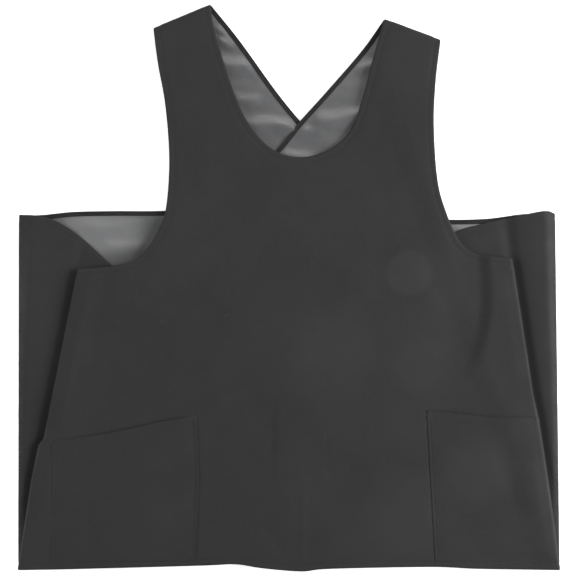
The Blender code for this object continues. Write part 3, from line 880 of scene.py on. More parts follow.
class Surface:
    """A Principled material that is built up node by node."""

    def __init__(self, name, roughness, specular=0.5, sheen=0.0):
        self.material = bpy.data.materials.new(name)
        self.material.use_nodes = True
        self.tree = self.material.node_tree
        self.shader = self.tree.nodes["Principled BSDF"]
        self.shader.inputs["Roughness"].default_value = roughness
        self.shader.inputs["Specular IOR Level"].default_value = specular
        self.shader.inputs["Sheen Weight"].default_value = sheen
        self.shader.inputs["Sheen Roughness"].default_value = SHEEN_ROUGHNESS
        self.place = self.tree.nodes.new("ShaderNodeTexCoord").outputs["Object"]
        self.normal = None

    def add(self, kind, inputs=(), **settings):
        """A node with these settings. An input is a value or another node's output."""
        made = self.tree.nodes.new(kind)
        for name, value in settings.items():
            setattr(made, name, value)
        for name, value in dict(inputs).items():
            if isinstance(value, bpy.types.NodeSocket):
                self.tree.links.new(value, made.inputs[name])
            elif made.inputs[name].type == "RGBA":
                made.inputs[name].default_value = (*value, 1)
            else:
                made.inputs[name].default_value = value
        return made

    def clouds(self, size, detail=3.0, rough=0.55, between=None, to=(0.0, 1.0)):
        """Noise whose blotches are about this size in metres, drawn out to a range if asked."""
        inputs = {"Vector": self.place, "Scale": 1 / size, "Detail": detail, "Roughness": rough}
        value = self.add("ShaderNodeTexNoise", inputs).outputs["Fac"]
        return self.spread(value, *between, *to) if between else value

    def bands(self, pitch, direction, place=None):
        """Ribs of this pitch in metres."""
        inputs = {"Vector": place or self.place, "Scale": WAVE_PITCH / pitch,
                  "Distortion": RIB_WOBBLE, "Detail": 1.0}
        made = self.add("ShaderNodeTexWave", inputs, wave_type="BANDS", bands_direction=direction)
        return made.outputs["Fac"]

    def turned(self, degrees):
        inputs = {"Vector": self.place, "Rotation": (0, 0, math.radians(degrees))}
        return self.add("ShaderNodeMapping", inputs).outputs["Vector"]

    def spread(self, value, low, high, to_low=0.0, to_high=1.0):
        inputs = {"Value": value, "From Min": low, "From Max": high, "To Min": to_low,
                  "To Max": to_high}
        return self.add("ShaderNodeMapRange", inputs, interpolation_type="SMOOTHSTEP").outputs[0]

    def spot(self, middle, radii, degrees, softness):
        """1 inside an ellipse in the plan and 0 outside it, with a soft edge."""
        inputs = {"Vector": self.place, "Location": (*middle, 0), "Scale": (*radii, FAR),
                  "Rotation": (0, 0, math.radians(degrees))}
        placed = self.add("ShaderNodeMapping", inputs, vector_type="TEXTURE").outputs["Vector"]
        length = self.add("ShaderNodeVectorMath", {0: placed}, operation="LENGTH").outputs["Value"]
        return self.spread(length, 1 - softness, 1, 1.0, 0.0)

    def maths(self, operation, first, second):
        return self.add("ShaderNodeMath", {0: first, 1: second}, operation=operation).outputs[0]

    def mixed(self, share, first, second):
        inputs = {MIX_SHARE: share, MIX_FIRST: first, MIX_SECOND: second}
        return self.add("ShaderNodeMix", inputs, data_type="RGBA").outputs[MIX_RESULT]

    def bump(self, height, distance, strength=1.0):
        inputs = {"Height": height, "Distance": distance, "Strength": strength}
        if self.normal:
            inputs["Normal"] = self.normal
        self.normal = self.add("ShaderNodeBump", inputs).outputs["Normal"]

    def finish(self, colour, roughness=None):
        self.tree.links.new(colour, self.shader.inputs["Base Color"])
        if roughness:
            self.tree.links.new(roughness, self.shader.inputs["Roughness"])
        if self.normal:
            self.tree.links.new(self.normal, self.shader.inputs["Normal"])
        return self.material


COVER_DARK = (0.0225, 0.0225, 0.0227)
COVER_LIGHT = (0.0260, 0.0260, 0.0262)
COVER_SPECKLE = (0.034, 0.034, 0.034)
COVER_RUBBED = (0.050, 0.050, 0.050)
SATIN_DARK = (0.076, 0.077, 0.079)
SATIN_LIGHT = (0.090, 0.091, 0.094)
SATIN_SLUB = (0.110, 0.111, 0.114)
# colour of the lining's painted highlights
SATIN_SHEEN_PAINT_COLOUR = (0.185, 0.187, 0.190)
TAPE_DARK = (0.011, 0.0112, 0.0118)
TAPE_LIGHT = (0.017, 0.0172, 0.018)
THREAD_DARK = (0.007, 0.007, 0.0075)
THREAD_LIGHT = (0.015, 0.015, 0.016)
VINYL_DARK = (0.16, 0.17, 0.19)
VINYL_LIGHT = (0.23, 0.24, 0.26)
FELT_DARK = (0.06, 0.06, 0.062)
FELT_LIGHT = (0.14, 0.14, 0.145)
TABLE_DARK = (0.93, 0.93, 0.93)
TABLE_LIGHT = (0.95, 0.95, 0.95)
WHITE = (1, 1, 1)
FLOOR_GLOW = 0.6
# Painted highlights, lighter lining patches where the satin catches light: middle, radii in
# metres, share
SATIN_PAINTED_SHEEN = (
    ((-0.300, 0.085), (0.090, 0.045), 0.75),
    ((0.280, 0.090), (0.080, 0.030), 0.55),
)
# Marks on the front: middle in metres, radius, softness as a share of it, and strength
PRESS_MARKS = (
    (0.1866, 0.0230, 0.041, 0.30, 0.26),
    (0.0700, -0.1000, 0.085, 0.60, 0.16),
    (0.2060, -0.1180, 0.060, 0.60, 0.14),
    (0.2950, -0.2850, 0.070, 0.60, 0.24),
    (0.1850, -0.3500, 0.090, 0.70, 0.12),
    (-0.2200, -0.3700, 0.090, 0.80, 0.08),
)
# Rubbed streaks: middle in metres, length, width, angle in degrees and strength
STREAKS = (
    (-0.2370, -0.0120, 0.020, 0.0030, 80, 0.8),
    (-0.1960, -0.0520, 0.012, 0.0040, 130, 0.7),
    (-0.0960, -0.0430, 0.016, 0.0028, 28, 0.9),
    (-0.1280, -0.0900, 0.014, 0.0030, 60, 0.5),
    (0.0560, -0.2350, 0.050, 0.0026, 88, 0.6),
    (0.0570, -0.2880, 0.036, 0.0030, 112, 0.9),
    (-0.0560, -0.3150, 0.014, 0.0030, 95, 0.5),
    (0.0050, -0.3300, 0.012, 0.0030, 70, 0.4),
)


def cover_material():
    """Coated nylon: charcoal, matt, finely woven, faintly mottled, pressed and scuffed."""
    cloth = Surface("charcoal_coated_nylon", roughness=0.74, specular=0.22)
    broad = cloth.clouds(size=0.16, between=BLOTCHES)
    colour = cloth.mixed(broad, COVER_DARK, COVER_LIGHT)
    speckle = cloth.clouds(size=0.0035, detail=4.0, rough=0.7, between=(0.35, 0.7))
    colour = cloth.mixed(cloth.maths("MULTIPLY", speckle, SPECKLE_SHARE), colour, COVER_SPECKLE)
    scuff = cloth.clouds(size=0.03, detail=6.0, rough=0.75, between=(0.66, 0.80), to=(0.0, 0.25))
    grain = cloth.clouds(size=0.002, detail=5.0, rough=0.8, between=(0.42, 0.62))
    for x, y, radius, softness, strength in PRESS_MARKS:
        mark = cloth.spot((x, y), (radius, radius), 0, softness)
        scuff = cloth.maths("ADD", scuff, cloth.maths("MULTIPLY", mark, strength))
    for x, y, length, width, angle, strength in STREAKS:
        mark = cloth.spot((x, y), (length / 2, width / 2), angle, softness=0.8)
        mark = cloth.maths("MULTIPLY", mark, cloth.maths("MULTIPLY", grain, strength))
        scuff = cloth.maths("ADD", scuff, mark)
    colour = cloth.mixed(scuff, colour, COVER_RUBBED)
    warp = cloth.bands(pitch=0.0007, direction="X")
    weft = cloth.bands(pitch=0.0007, direction="Y")
    cloth.bump(cloth.maths("MAXIMUM", warp, weft), distance=0.00005, strength=0.7)
    cloth.bump(cloth.clouds(size=0.0045), distance=0.0003, strength=0.5)
    rough = cloth.clouds(size=0.05, detail=4.0, between=BLOTCHES, to=(0.68, 0.82))
    return cloth.finish(colour, rough)


def lining_material():
    """Satin lining: mid grey, fine twill, soft broad highlights, and two lighter patches of
    painted highlight.
    """
    cloth = Surface("grey_satin", roughness=0.34, specular=0.9, sheen=0.1)
    broad = cloth.clouds(size=0.06, between=BLOTCHES)
    colour = cloth.mixed(broad, SATIN_DARK, SATIN_LIGHT)
    slub = cloth.clouds(size=0.004, detail=4.0, rough=0.7, between=(0.3, 0.75))
    colour = cloth.mixed(cloth.maths("MULTIPLY", slub, SPECKLE_SHARE), colour, SATIN_SLUB)
    # painted highlight: these spots lighten the lining's colour where the satin should look more
    # lit
    for middle, radii, strength in SATIN_PAINTED_SHEEN:
        mark = cloth.maths("MULTIPLY", cloth.spot(middle, radii, 0, softness=0.5), strength)
        colour = cloth.mixed(mark, colour, SATIN_SHEEN_PAINT_COLOUR)
    twill = cloth.bands(pitch=0.0006, direction="X", place=cloth.turned(degrees=52))
    cloth.bump(twill, distance=0.00004, strength=0.6)
    cloth.bump(cloth.clouds(size=0.012), distance=0.0004, strength=0.5)
    rough = cloth.clouds(size=0.03, between=BLOTCHES, to=(0.36, 0.44))
    return cloth.finish(colour, rough)


def tape_material():
    """Black facing tape with a fine rib."""
    cloth = Surface("black_ribbed_tape", roughness=0.8, specular=0.3)
    tone = cloth.clouds(size=0.01, detail=4.0, between=BLOTCHES)
    colour = cloth.mixed(tone, TAPE_DARK, TAPE_LIGHT)
    ribs = [cloth.bands(pitch=0.0009, direction=direction) for direction in "XY"]
    cloth.bump(cloth.maths("MULTIPLY", *ribs), distance=0.00012, strength=0.8)
    return cloth.finish(colour)


def thread_material():
    """Twisted polyester thread."""
    cloth = Surface("charcoal_thread", roughness=0.55, specular=0.4)
    tone = cloth.bands(pitch=0.0005, direction="X", place=cloth.turned(degrees=35))
    colour = cloth.mixed(tone, THREAD_DARK, THREAD_LIGHT)
    cloth.bump(tone, distance=0.00008, strength=0.8)
    return cloth.finish(colour)


def vinyl_material():
    """Lead-filled vinyl: blue-grey rubbery sheet with a faint calender grain."""
    sheet = Surface("lead_filled_vinyl", roughness=0.6, specular=0.4)
    tone = sheet.clouds(size=0.02, detail=5.0, rough=0.65, between=BLOTCHES)
    colour = sheet.mixed(tone, VINYL_DARK, VINYL_LIGHT)
    sheet.bump(sheet.clouds(size=0.0015), distance=0.0001, strength=0.6)
    return sheet.finish(colour)


def felt_material():
    """Needled felt interlining."""
    felt = Surface("grey_felt", roughness=0.95, specular=0.2, sheen=0.3)
    tone = felt.clouds(size=0.002, detail=6.0, rough=0.8)
    colour = felt.mixed(tone, FELT_DARK, FELT_LIGHT)
    felt.bump(tone, distance=0.0004, strength=0.8)
    return felt.finish(colour)


def floor_material():
    """Pale table top."""
    table = Surface("pale_table", roughness=0.9, specular=0.1)
    colour = table.mixed(table.clouds(size=0.4, detail=2.0), TABLE_DARK, TABLE_LIGHT)
    table.shader.inputs["Emission Color"].default_value = (*WHITE, 1)
    table.shader.inputs["Emission Strength"].default_value = FLOOR_GLOW
    return table.finish(colour)


cover_cloth = cover_material()
satin = lining_material()
tape_cloth = tape_material()
thread = thread_material()
vinyl = vinyl_material()
felt = felt_material()


# ---- attaching pieces -------------------------------------------------------------------
def declare(piece, slot, node=None, outline=None, strip=None,
            rides=True):
    """Attach a piece to the garment's body unless rides is false, and hide its node's CAD part.
    The finish is not used; the outline's flat size and area are worked out and not kept.
    """
    if rides:
        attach(piece, "garment")
    if node:
        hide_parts(node)
    if outline is not None:
        flat_size(outline)
        abs(area_of(outline)) * MM * MM
    return piece


def core_ply(node, slot, outline, height, surface, place):
    """A hidden ply, cut to its outline at this height above the lining's inner face."""
    ply = slab(node + "_cut", outline, flat(height), flat(height + PLY), surface, place,
               step=COARSE)
    declare(ply, slot, node, outline=outline)


def facing_strip(node, path, side, lines, place):
    """The facing tape inside a finished edge."""
    outline = ribbon(path, side, lines, TAPE_START, TAPE_END)
    first = ends_at(offset(path, TAPE_START, side), *lines)
    last = ends_at(offset(path, TAPE_END, side), *lines)
    piece = slab(node + "_strip", outline, tape_face, flat(-GAP), tape_cloth,
                 place, edges=((first, side), (last, -side)), rows=TAPE_ROWS)
    return declare(piece, "facing_tape", node)


# ---- front panel ------------------------------------------------------------------------
left_crease_down = Fold(LEFT_CREASE, CREASE_RADIUS, up=False)
right_crease_down = Fold(RIGHT_CREASE, CREASE_RADIUS, up=False)
LEFT_SHOULDER_RADIUS = (SHOULDER_LEVEL - BACK_LEVEL) / 2
RIGHT_SHOULDER_RADIUS = (SHOULDER_LEVEL - BACK_LEVEL - STRAP_END_RISE) / 2
left_shoulder_down = Fold(LEFT_SHOULDER, LEFT_SHOULDER_RADIUS, up=False)
right_shoulder_down = Fold(RIGHT_SHOULDER, RIGHT_SHOULDER_RADIUS, up=False)


def front_paths():
    """The front's four finished edges, each with the side that the cloth lies on."""
    neck = ends_at(smooth(NECKLINE), left_shoulder_down, right_shoulder_down)
    right = ends_at(smooth(RIGHT_ARMHOLE), None, right_crease_down)
    left = ends_at(smooth(LEFT_ARMHOLE), None, left_crease_down)
    right[0] = right_shoulder_down.meet(right[0], right_shoulder_down.normal)
    left[0] = left_shoulder_down.meet(left[0], left_shoulder_down.normal)
    hem = smooth(FRONT_HEM)
    hem[0] = left_crease_down.meet(hem[0], left_crease_down.normal)
    hem[-1] = right_crease_down.meet(hem[-1], right_crease_down.normal)
    return neck, right, hem, left


neck_path, right_arm_path, hem_path, left_arm_path = front_paths()
front_edges = ((neck_path, -1), (right_arm_path, -1), (hem_path, 1), (left_arm_path, 1))
front_place = {"level": front_level, "facing": 1,
               "folds": (left_crease_down, right_crease_down, left_shoulder_down,
                         right_shoulder_down)}


def closed_outline(*paths):
    """One outline from paths end to end, with their long gaps divided."""
    points = np.vstack(paths)
    following = np.roll(points, -1, axis=0)
    outline = []
    for start, end in zip(points, following):
        gap = float(np.linalg.norm(end - start))
        if gap < CLOSE:
            continue
        count = max(1, round(gap / STEP))
        outline += [start + (end - start) * share for share in np.arange(count) / count]
    return np.array(outline)


front_outline = closed_outline(neck_path, right_arm_path, hem_path[::-1], left_arm_path[::-1])


# Edges of the pockets that press a groove into the front, with the side the pocket lies on
POCKET_GROOVES = ((smooth(LEFT_POCKET_INNER), -1), (smooth(RIGHT_POCKET_INNER), -1),
                  (smooth(LEFT_POCKET_MOUTH)[1:], -1), (smooth(RIGHT_POCKET_MOUTH)[:-1], -1))
POCKET_SPANS = ((LEFT_POCKET_OUTER[0][0], LEFT_POCKET_INNER[-1][0]),
                (RIGHT_POCKET_INNER[0][0], RIGHT_POCKET_OUTER[-1][0]))
POCKET_FACE = 0.5               # how far a sewn edge of the pocket stands above the front
HEM_LIFT_STEP = (0.3, 0.9)      # the front's hem rises to the pocket's foot over this stretch
FOOT_FADE = 4.0                 # the rise ends this softly at its corners
FLUSH_FADE = (5.0, 30.0)        # the front beside the left pocket rises to it, and falls again
FLUSH_TOP = (-244.0, -234.0)
GROOVE_DEPTH = 0.42
GROOVE_WIDTH = 0.9
GROOVE_MIDDLE = -0.7            # beside the pocket's edge
GROOVE_END = 1.0                # a groove is not drawn past the ends of its path
GROOVE_ROWS = (-2.6, -1.5, -0.7, 0.1, 1.2)
left_pocket_side = smooth(LEFT_POCKET_OUTER)


def front_outer_face(plan, distance, along):
    """The front's face, pressed in beside the pockets' edges and risen below their feet."""
    height = cover_face(FRONT_TOP)(plan, distance, along)
    for path, side in POCKET_GROOVES:
        gap, _, _, signed = from_path(plan, path, side)
        away = np.where(np.abs(np.abs(signed) - gap) < GROOVE_END, signed, FAR)
        height -= GROOVE_DEPTH * bell(away - GROOVE_MIDDLE, GROOVE_WIDTH)
    x, y = plan.T
    outside = -from_path(plan, left_pocket_side, -1)[3]
    flush = ramp(outside, *HEM_LIFT_STEP) * (1 - ramp(outside, *FLUSH_FADE))
    height += POCKET_FACE * flush * (y > POCKET_FOOT_Y) * (1 - ramp(y, *FLUSH_TOP))
    start, end = HEM_LIFT_STEP
    under_foot = 1 - ramp(y, POCKET_FOOT_Y - end, POCKET_FOOT_Y - start)
    under_foot *= ramp(distance, 0, FOOT_FADE)
    for left, right in POCKET_SPANS:
        across = ramp(x, left, left + FOOT_FADE) * (1 - ramp(x, right - FOOT_FADE, right))
        height += POCKET_FACE * under_foot * across
    return height


def groove_rows():
    """Rows of points for the grooves and for the step under each pocket's foot."""
    for path, side in POCKET_GROOVES:
        for row in GROOVE_ROWS:
            yield offset(path, row, side)
    for step in HEM_LIFT_STEP:
        yield offset(left_pocket_side, step, 1)
    for left, right in POCKET_SPANS:
        for step in HEM_LIFT_STEP:
            level = POCKET_FOOT_Y - step
            yield straight([(left, level), (right, level)])


# Each finished edge: its facing, path, side, and the folds that it runs between
FRONT_FACINGS = (
    ("neckline_facing", neck_path, -1, (left_shoulder_down, right_shoulder_down)),
    ("left_armhole_facing", left_arm_path, 1, (left_shoulder_down, left_crease_down)),
    ("right_armhole_facing", right_arm_path, -1, (right_shoulder_down, right_crease_down)),
    ("front_hem_facing", hem_path, 1, (left_crease_down, right_crease_down)),
)


def build_front():
    face = front_outer_face
    cover = slab("front_cover_sewn", front_outline, below(face, COVER), face, cover_cloth,
                 front_place, edges=front_edges, wrapped=True, extra=list(groove_rows()))
    declare(cover, "cover_cloth", "front_cover", outline=front_outline)
    neck, left, right, hem = [ends_at(offset(path, LINING_START, side), *lines)
                              for _, path, side, lines in FRONT_FACINGS]
    inner = closed_outline(neck, right, hem[::-1], left[::-1])
    lining = slab("front_lining_sewn", inner, flat(0), flat(LINING), satin, front_place,
                  step=COARSE)
    shield = inset(front_outline, FRONT_SHIELD_INSET)
    for node, height in (("front_shield_outer_ply", OUTER_PLY),
                         ("front_shield_inner_ply", INNER_PLY)):
        core_ply(node, "lead_vinyl", shield, height, vinyl, {"level": front_level})
    trims = [facing_strip(*facing, front_place) for facing in FRONT_FACINGS]
    declare(lining, "satin_lining", "front_lining", outline=inner)
    lift = on_face(face, front_edges)
    runs = [stitch_row(path, side, STITCH_LINE, lift, front_place) for path, side in front_edges]
    declare(threads("front_topstitching", runs), "cover_cloth")


# ---- gussets ----------------------------------------------------------------------------
def build_gusset(side, side_top, hidden_top, hidden_end, outer_ends, inner_ends, crease_ends,
                 rise, hollow):
    seam = Fold(outer_ends, OUTER_FOLD_RADIUS, up=False)
    inner = Fold(inner_ends, INNER_FOLD_RADIUS, up=True, inside=(inner_ends[1][0], 0))
    crease = Fold(crease_ends, CREASE_RADIUS, up=True, after=inner)
    tip = crease.at(GUSSET_TIP, 0)
    crease_cut = Line(inner.flip(crease.point), inner.flip(tip), inside=inner.flip(np.zeros(2)))
    hidden = [inner.flip(np.array(point, float)) for point in hidden_top]
    top = smooth(list(side_top) + [tuple(point) for point in hidden])
    top[0] = seam.meet(top[0], seam.normal)
    top[-1] = crease_cut.meet(top[-1], crease_cut.normal)
    clear = -(inner.half_arc + GAP)
    turn = 1 if side == "left" else -1

    def outline(end, tip_y, edge):
        corners = [inner.flip(crease.at(end, -SEAM)), inner.at(end, clear)]
        if tip_y != end:
            corners.append(inner.at(tip_y, clear))
        return closed_outline(edge, np.array(corners + [seam.at(tip_y, -SEAM)]))

    edges = ((top, -turn),)
    level = side_level(crease_ends, outer_ends, rise, hollow)
    place = {"level": level, "facing": 1, "folds": (seam, inner, crease)}
    whole = outline(hidden_end, GUSSET_TIP, top)
    face = cover_face(SINGLE_TOP, SINGLE_BAND_DROP)
    cover = slab(side + "_side_cover_sewn", whole, below(face, COVER), face, cover_cloth, place,
                 edges=edges, wrapped=True)
    declare(cover, "cover_cloth", side + "_side_cover", outline=whole)
    low = ends_at(offset(top, LINING_START, -turn), seam, crease_cut)
    trimmed = outline(hidden_end, GUSSET_TIP, low)
    lining = slab(side + "_side_lining_sewn", trimmed, flat(0), flat(LINING), satin, place,
                  step=COARSE)
    shield = inset(outline(SHIELD_HIDDEN_END, SHIELD_HIDDEN_END, top), SHIELD_INSET)
    core_ply(side + "_side_shield", "lead_vinyl", shield, INNER_PLY, vinyl,
             {"level": level, "facing": 1, "folds": (inner,)})
    trim = facing_strip(side + "_side_top_facing", top, -turn, (seam, crease_cut), place)
    declare(lining, "satin_lining", side + "_side_lining", outline=trimmed)
    row = stitch_row(top, -turn, STITCH_LINE, on_face(face, edges), place)
    declare(threads(side + "_side_topstitching", (row,)), "cover_cloth")


# ---- backs and straps -------------------------------------------------------------------
# Wrinkles of the linings that show: height, half width and path of each
LINING_FOLDS = (
    (3.1, 10.0, ((-114, 349), (-86, 345), (-48, 346))),
    (1.7, 8.0, ((-92, 297), (-68, 291), (-40, 295))),
    (3.2, 10.5, ((-80, 249), (-46, 252), (-20, 253), (6, 247), (38, 234))),
    (1.8, 8.0, ((98, 337), (122, 343), (146, 348))),
    (3.4, 11.5, ((26, 260), (66, 260), (92, 264), (130, 271))),
    (1.4, 6.0, ((16, 248), (36, 244), (58, 239))),
    (2.6, 9.0, ((-30, 210), (0, 205), (18, 202), (46, 198))),
    (-0.8, 9.0, ((-80, 272), (-50, 276), (-16, 274))),
    (-1.0, 9.0, ((52, 240), (86, 240), (110, 246))),
    (4.2, 4.0, ((-120, 430), (-112, 420), (-103, 410))),
    (3.4, 4.5, ((-112, 405), (-101, 398), (-90, 391))),
    (4.4, 4.5, ((-112, 389), (-100, 382), (-88, 375))),
    (2.6, 11.0, ((-340, 98), (-290, 92), (-250, 96), (-210, 104))),
    (2.6, 10.0, ((-300, 68), (-260, 62), (-222, 68))),
    (2.2, 9.0, ((250, 96), (285, 92), (318, 94))),
)
LINING_GRAIN = np.array((0.4, 1.0))     # the rucks run across the body
LINING_RUCKS = (0.6, 17.0)      # amount and size of the broad noise, and of the fine
LINING_CREASES = (0.15, 9.0)
FINE_SEED = 5
LINING_EASE = 0.3
LINING_FULLNESS = (-0.1, 3.5)   # how far the lining lies below and above its sewn level
LINING_FREE = 13.0              # it is held flat from the tape up to here
BACK_HEM_SHORT = 1.6            # the backs' hems end this far inside the front's


def lining_wrinkles(plan, distance, seed):
    """Soft rucks in a lining that is longer than the cloth it is sewn to."""
    folds = sum(soft_fold(plan, *fold) for fold in LINING_FOLDS)
    broad = ripple(plan * LINING_GRAIN, *LINING_RUCKS, seed)
    fine = ripple(plan, *LINING_CREASES, seed + FINE_SEED)
    height = np.clip(folds + broad + fine + LINING_EASE, *LINING_FULLNESS)
    return height * ramp(distance, TAPE_END, LINING_FREE)


def face_down_panel(prefix, outline, edges, cut, place, seed, core, facings, stitched):
    """Cover, core, lining, facings and stitch rows of a panel that lies with its lining up."""
    face = pressed(cover_face(SINGLE_TOP, SINGLE_BAND_DROP), SINGLE_TOP)
    cover = slab(prefix + "_cover_sewn", outline, below(face, COVER), face, cover_cloth, place,
                 edges=edges, wrapped=True)
    declare(cover, "cover_cloth", prefix + "_cover", outline=outline)

    def near_face(plan, distance, along):
        return -lining_wrinkles(plan, from_edges(plan, edges)[0], seed)
    lining = slab(prefix + "_lining_sewn", cut, near_face, below(near_face, -LINING), satin,
                  place)
    node, slot, surface = core
    core_ply(node, slot, inset(outline, SHIELD_INSET), INNER_PLY, surface, place)
    trims = [facing_strip(f"{prefix}_{name}_facing", path, hand, lines, place)
             for name, path, hand, lines in facings]
    declare(lining, "satin_lining", prefix + "_lining", outline=cut)

    def lift(plan):
        return np.full(len(plan), TAPE_FACE), -1.0
    rows = [stitch_row(path, hand, TAPE_STITCH, lift, place) for path, hand in stitched]
    declare(threads(prefix + "_stitching", rows), "facing_tape")


def back_hem(corner, centre_x):
    """The back's hem, from the side seam to the centre edge, just inside the front's."""
    xs, ys = np.array(FRONT_HEM[1:-1]).T
    low, high = sorted((corner[0], centre_x))
    points = [(x, y + BACK_HEM_SHORT) for x, y in zip(xs, ys) if low < x < high]
    if corner[0] > centre_x:
        points.reverse()
    end = (centre_x, float(np.interp(centre_x, xs, ys)) + BACK_HEM_SHORT)
    return smooth([tuple(corner)] + points + [end])


def build_back(side, top_edge, centre_edge, strap_arm, outer_ends, level, seed):
    seam = Fold(outer_ends, OUTER_FOLD_RADIUS, up=True)
    corner = np.array(LEFT_HEM_CORNER if side == "left" else RIGHT_HEM_CORNER, float)
    centre_x = centre_edge[-1][0]
    turn = 1 if side == "left" else -1
    top = ends_at(smooth(top_edge), strap_seam_back, seam)
    start = strap_seam_back.meet(np.array(strap_arm[-1], float), strap_seam_back.normal)
    hem = back_hem(seam.meet(corner, seam.normal), centre_x)
    bottom = hem[-1]
    centre = straight([start] + list(centre_edge) + [bottom])
    edges = ((top, turn), (centre, -turn), (hem, turn))
    outline = closed_outline(top, hem, centre[::-1])
    place = {"level": level, "facing": -1, "folds": (seam,)}
    low = ends_at(offset(top, LINING_START, turn), strap_seam_back, seam)
    inner_corner = bottom + np.array((-turn, 1.0)) * LINING_START
    line = offset(centre, LINING_START, -turn)
    line[0] = strap_seam_back.meet(line[0], strap_seam_back.normal)
    line[-1] = inner_corner
    hem_line = offset(hem, LINING_START, turn)
    hem_line[-1] = inner_corner
    cut = closed_outline(low, hem_line, line[::-1])
    core = (side + "_back_shield", "lead_vinyl", vinyl)
    clear = TAPE_END + GAP
    above_hem = bottom + np.array((0, clear))
    short_centre = straight([start] + list(centre_edge) + [above_hem])
    short_hem = hem[np.abs(hem[:, 0] - centre_x) > clear + TAPE_ROOM]
    facings = (("top", smooth(top_edge), turn, (strap_seam_back, seam)),
               ("centre", short_centre, -turn, (strap_seam_back, None)),
               ("hem", short_hem, turn, (seam, None)))
    stitched = ((top, turn), (short_centre, -turn), (short_hem, turn))
    face_down_panel(side + "_back", outline, edges, cut, place, seed, core, facings, stitched)


def build_strap(side, neck_edge, arm_edge, shoulder, level, seed):
    turn = 1 if side == "left" else -1
    neck = ends_at(smooth(neck_edge), shoulder, strap_seam)
    arm = ends_at(smooth(arm_edge), shoulder, strap_seam)
    edges = ((neck, -turn), (arm, turn))
    outline = closed_outline(neck, arm[::-1])
    place = {"level": level, "facing": -1, "folds": (shoulder,)}
    inner_neck = ends_at(offset(neck, LINING_START, -turn), shoulder, strap_seam)
    inner_arm = ends_at(offset(arm, LINING_START, turn), shoulder, strap_seam)
    cut = closed_outline(inner_neck, inner_arm[::-1])
    core = (side + "_strap_interlining", "interlining", felt)
    lines = (shoulder, strap_seam)
    facings = (("neck", neck, -turn, lines), ("arm", arm, turn, lines))
    face_down_panel(side + "_strap", outline, edges, cut, place, seed, core, facings, edges)


strap_seam = Line((0, STRAP_SEAM_Y), (1, STRAP_SEAM_Y), inside=CROSSING)
strap_seam_back = Line((0, STRAP_SEAM_Y), (1, STRAP_SEAM_Y))

# ---- pockets ----------------------------------------------------------------------------
POCKET_EDGE = 1.2               # rounding of the pocket's turned edge
POCKET_STITCH = 5.5
POCKET_STITCH_PAIR = (5.0, 6.0)
POCKET_STITCH_DEPTH = 0.42
POCKET_BAR_STITCH = 1.0         # a third row, close to the sewn side
MOUTH_HEM = 12.5
MOUTH_HEM_END = (MOUTH_HEM - 2, MOUTH_HEM + 1.5)
MOUTH_STITCH_DEPTH = 0.3
MOUTH_STITCH_WIDTH = 1.2
MOUTH_EDGE_STITCH = 1.1
MOUTH_THICKNESS = 0.3
MOUTH_TAPE = (2.0, 16.0)        # from and to these distances inside the mouth
MOUTH_TAPE_THICKNESS = 0.25
MOUTH_TAPE_ROOM = 0.12          # under the pocket's cloth
MOUTH_TAPE_FLOOR = 0.1          # above the front
SEWN_RISE = (2.5, 20.0)         # the pocket rises to its full height this far from its seams
POCKET_BULGE = 1.2
BULGE_FROM_SEWN = (10.0, 70.0)
BULGE_FROM_MOUTH = (0.0, 40.0)
MOUTH_LIFT = 0.8
MOUTH_LIFT_WIDTH = 30.0
MOUTH_LIFT_FROM_SEWN = (6.0, 50.0)
POCKET_TURN = 0.35              # how much lower the rim of its turned edge is
POCKET_ROOM = 0.05              # between the pocket's cloth and the front, at the least
POCKET_ROWS = (0.2, 0.6, 1.2, 2.6, 3.8, 4.6, 5.6, 9.0)


def front_face(plan):
    distance, along, _ = from_edges(plan, front_edges)
    return cover_face(FRONT_TOP)(plan, distance, along)


def span_to_middle(sewn_side, whole, x_middle):
    """Two points in metres across the pocket: past its sewn side, and short of its middle line."""
    run = sewn_side[-1] - sewn_side[0]
    inward = np.array((-run[1], run[0])) / np.hypot(*run)
    if inward[0] * (x_middle - sewn_side[0][0]) < 0:
        inward = -inward
    middle = np.array(((x_middle, whole[:, 1].min()), (x_middle, whole[:, 1].max())))
    from_side = (sewn_side - sewn_side[0]) @ inward
    to_middle = (middle - sewn_side[0]) @ inward
    start = sewn_side[0] + inward * from_side.max()
    end = sewn_side[0] + inward * to_middle.min()
    return ((*((point - ORIGIN) * MM), 0.0) for point in (start, end))


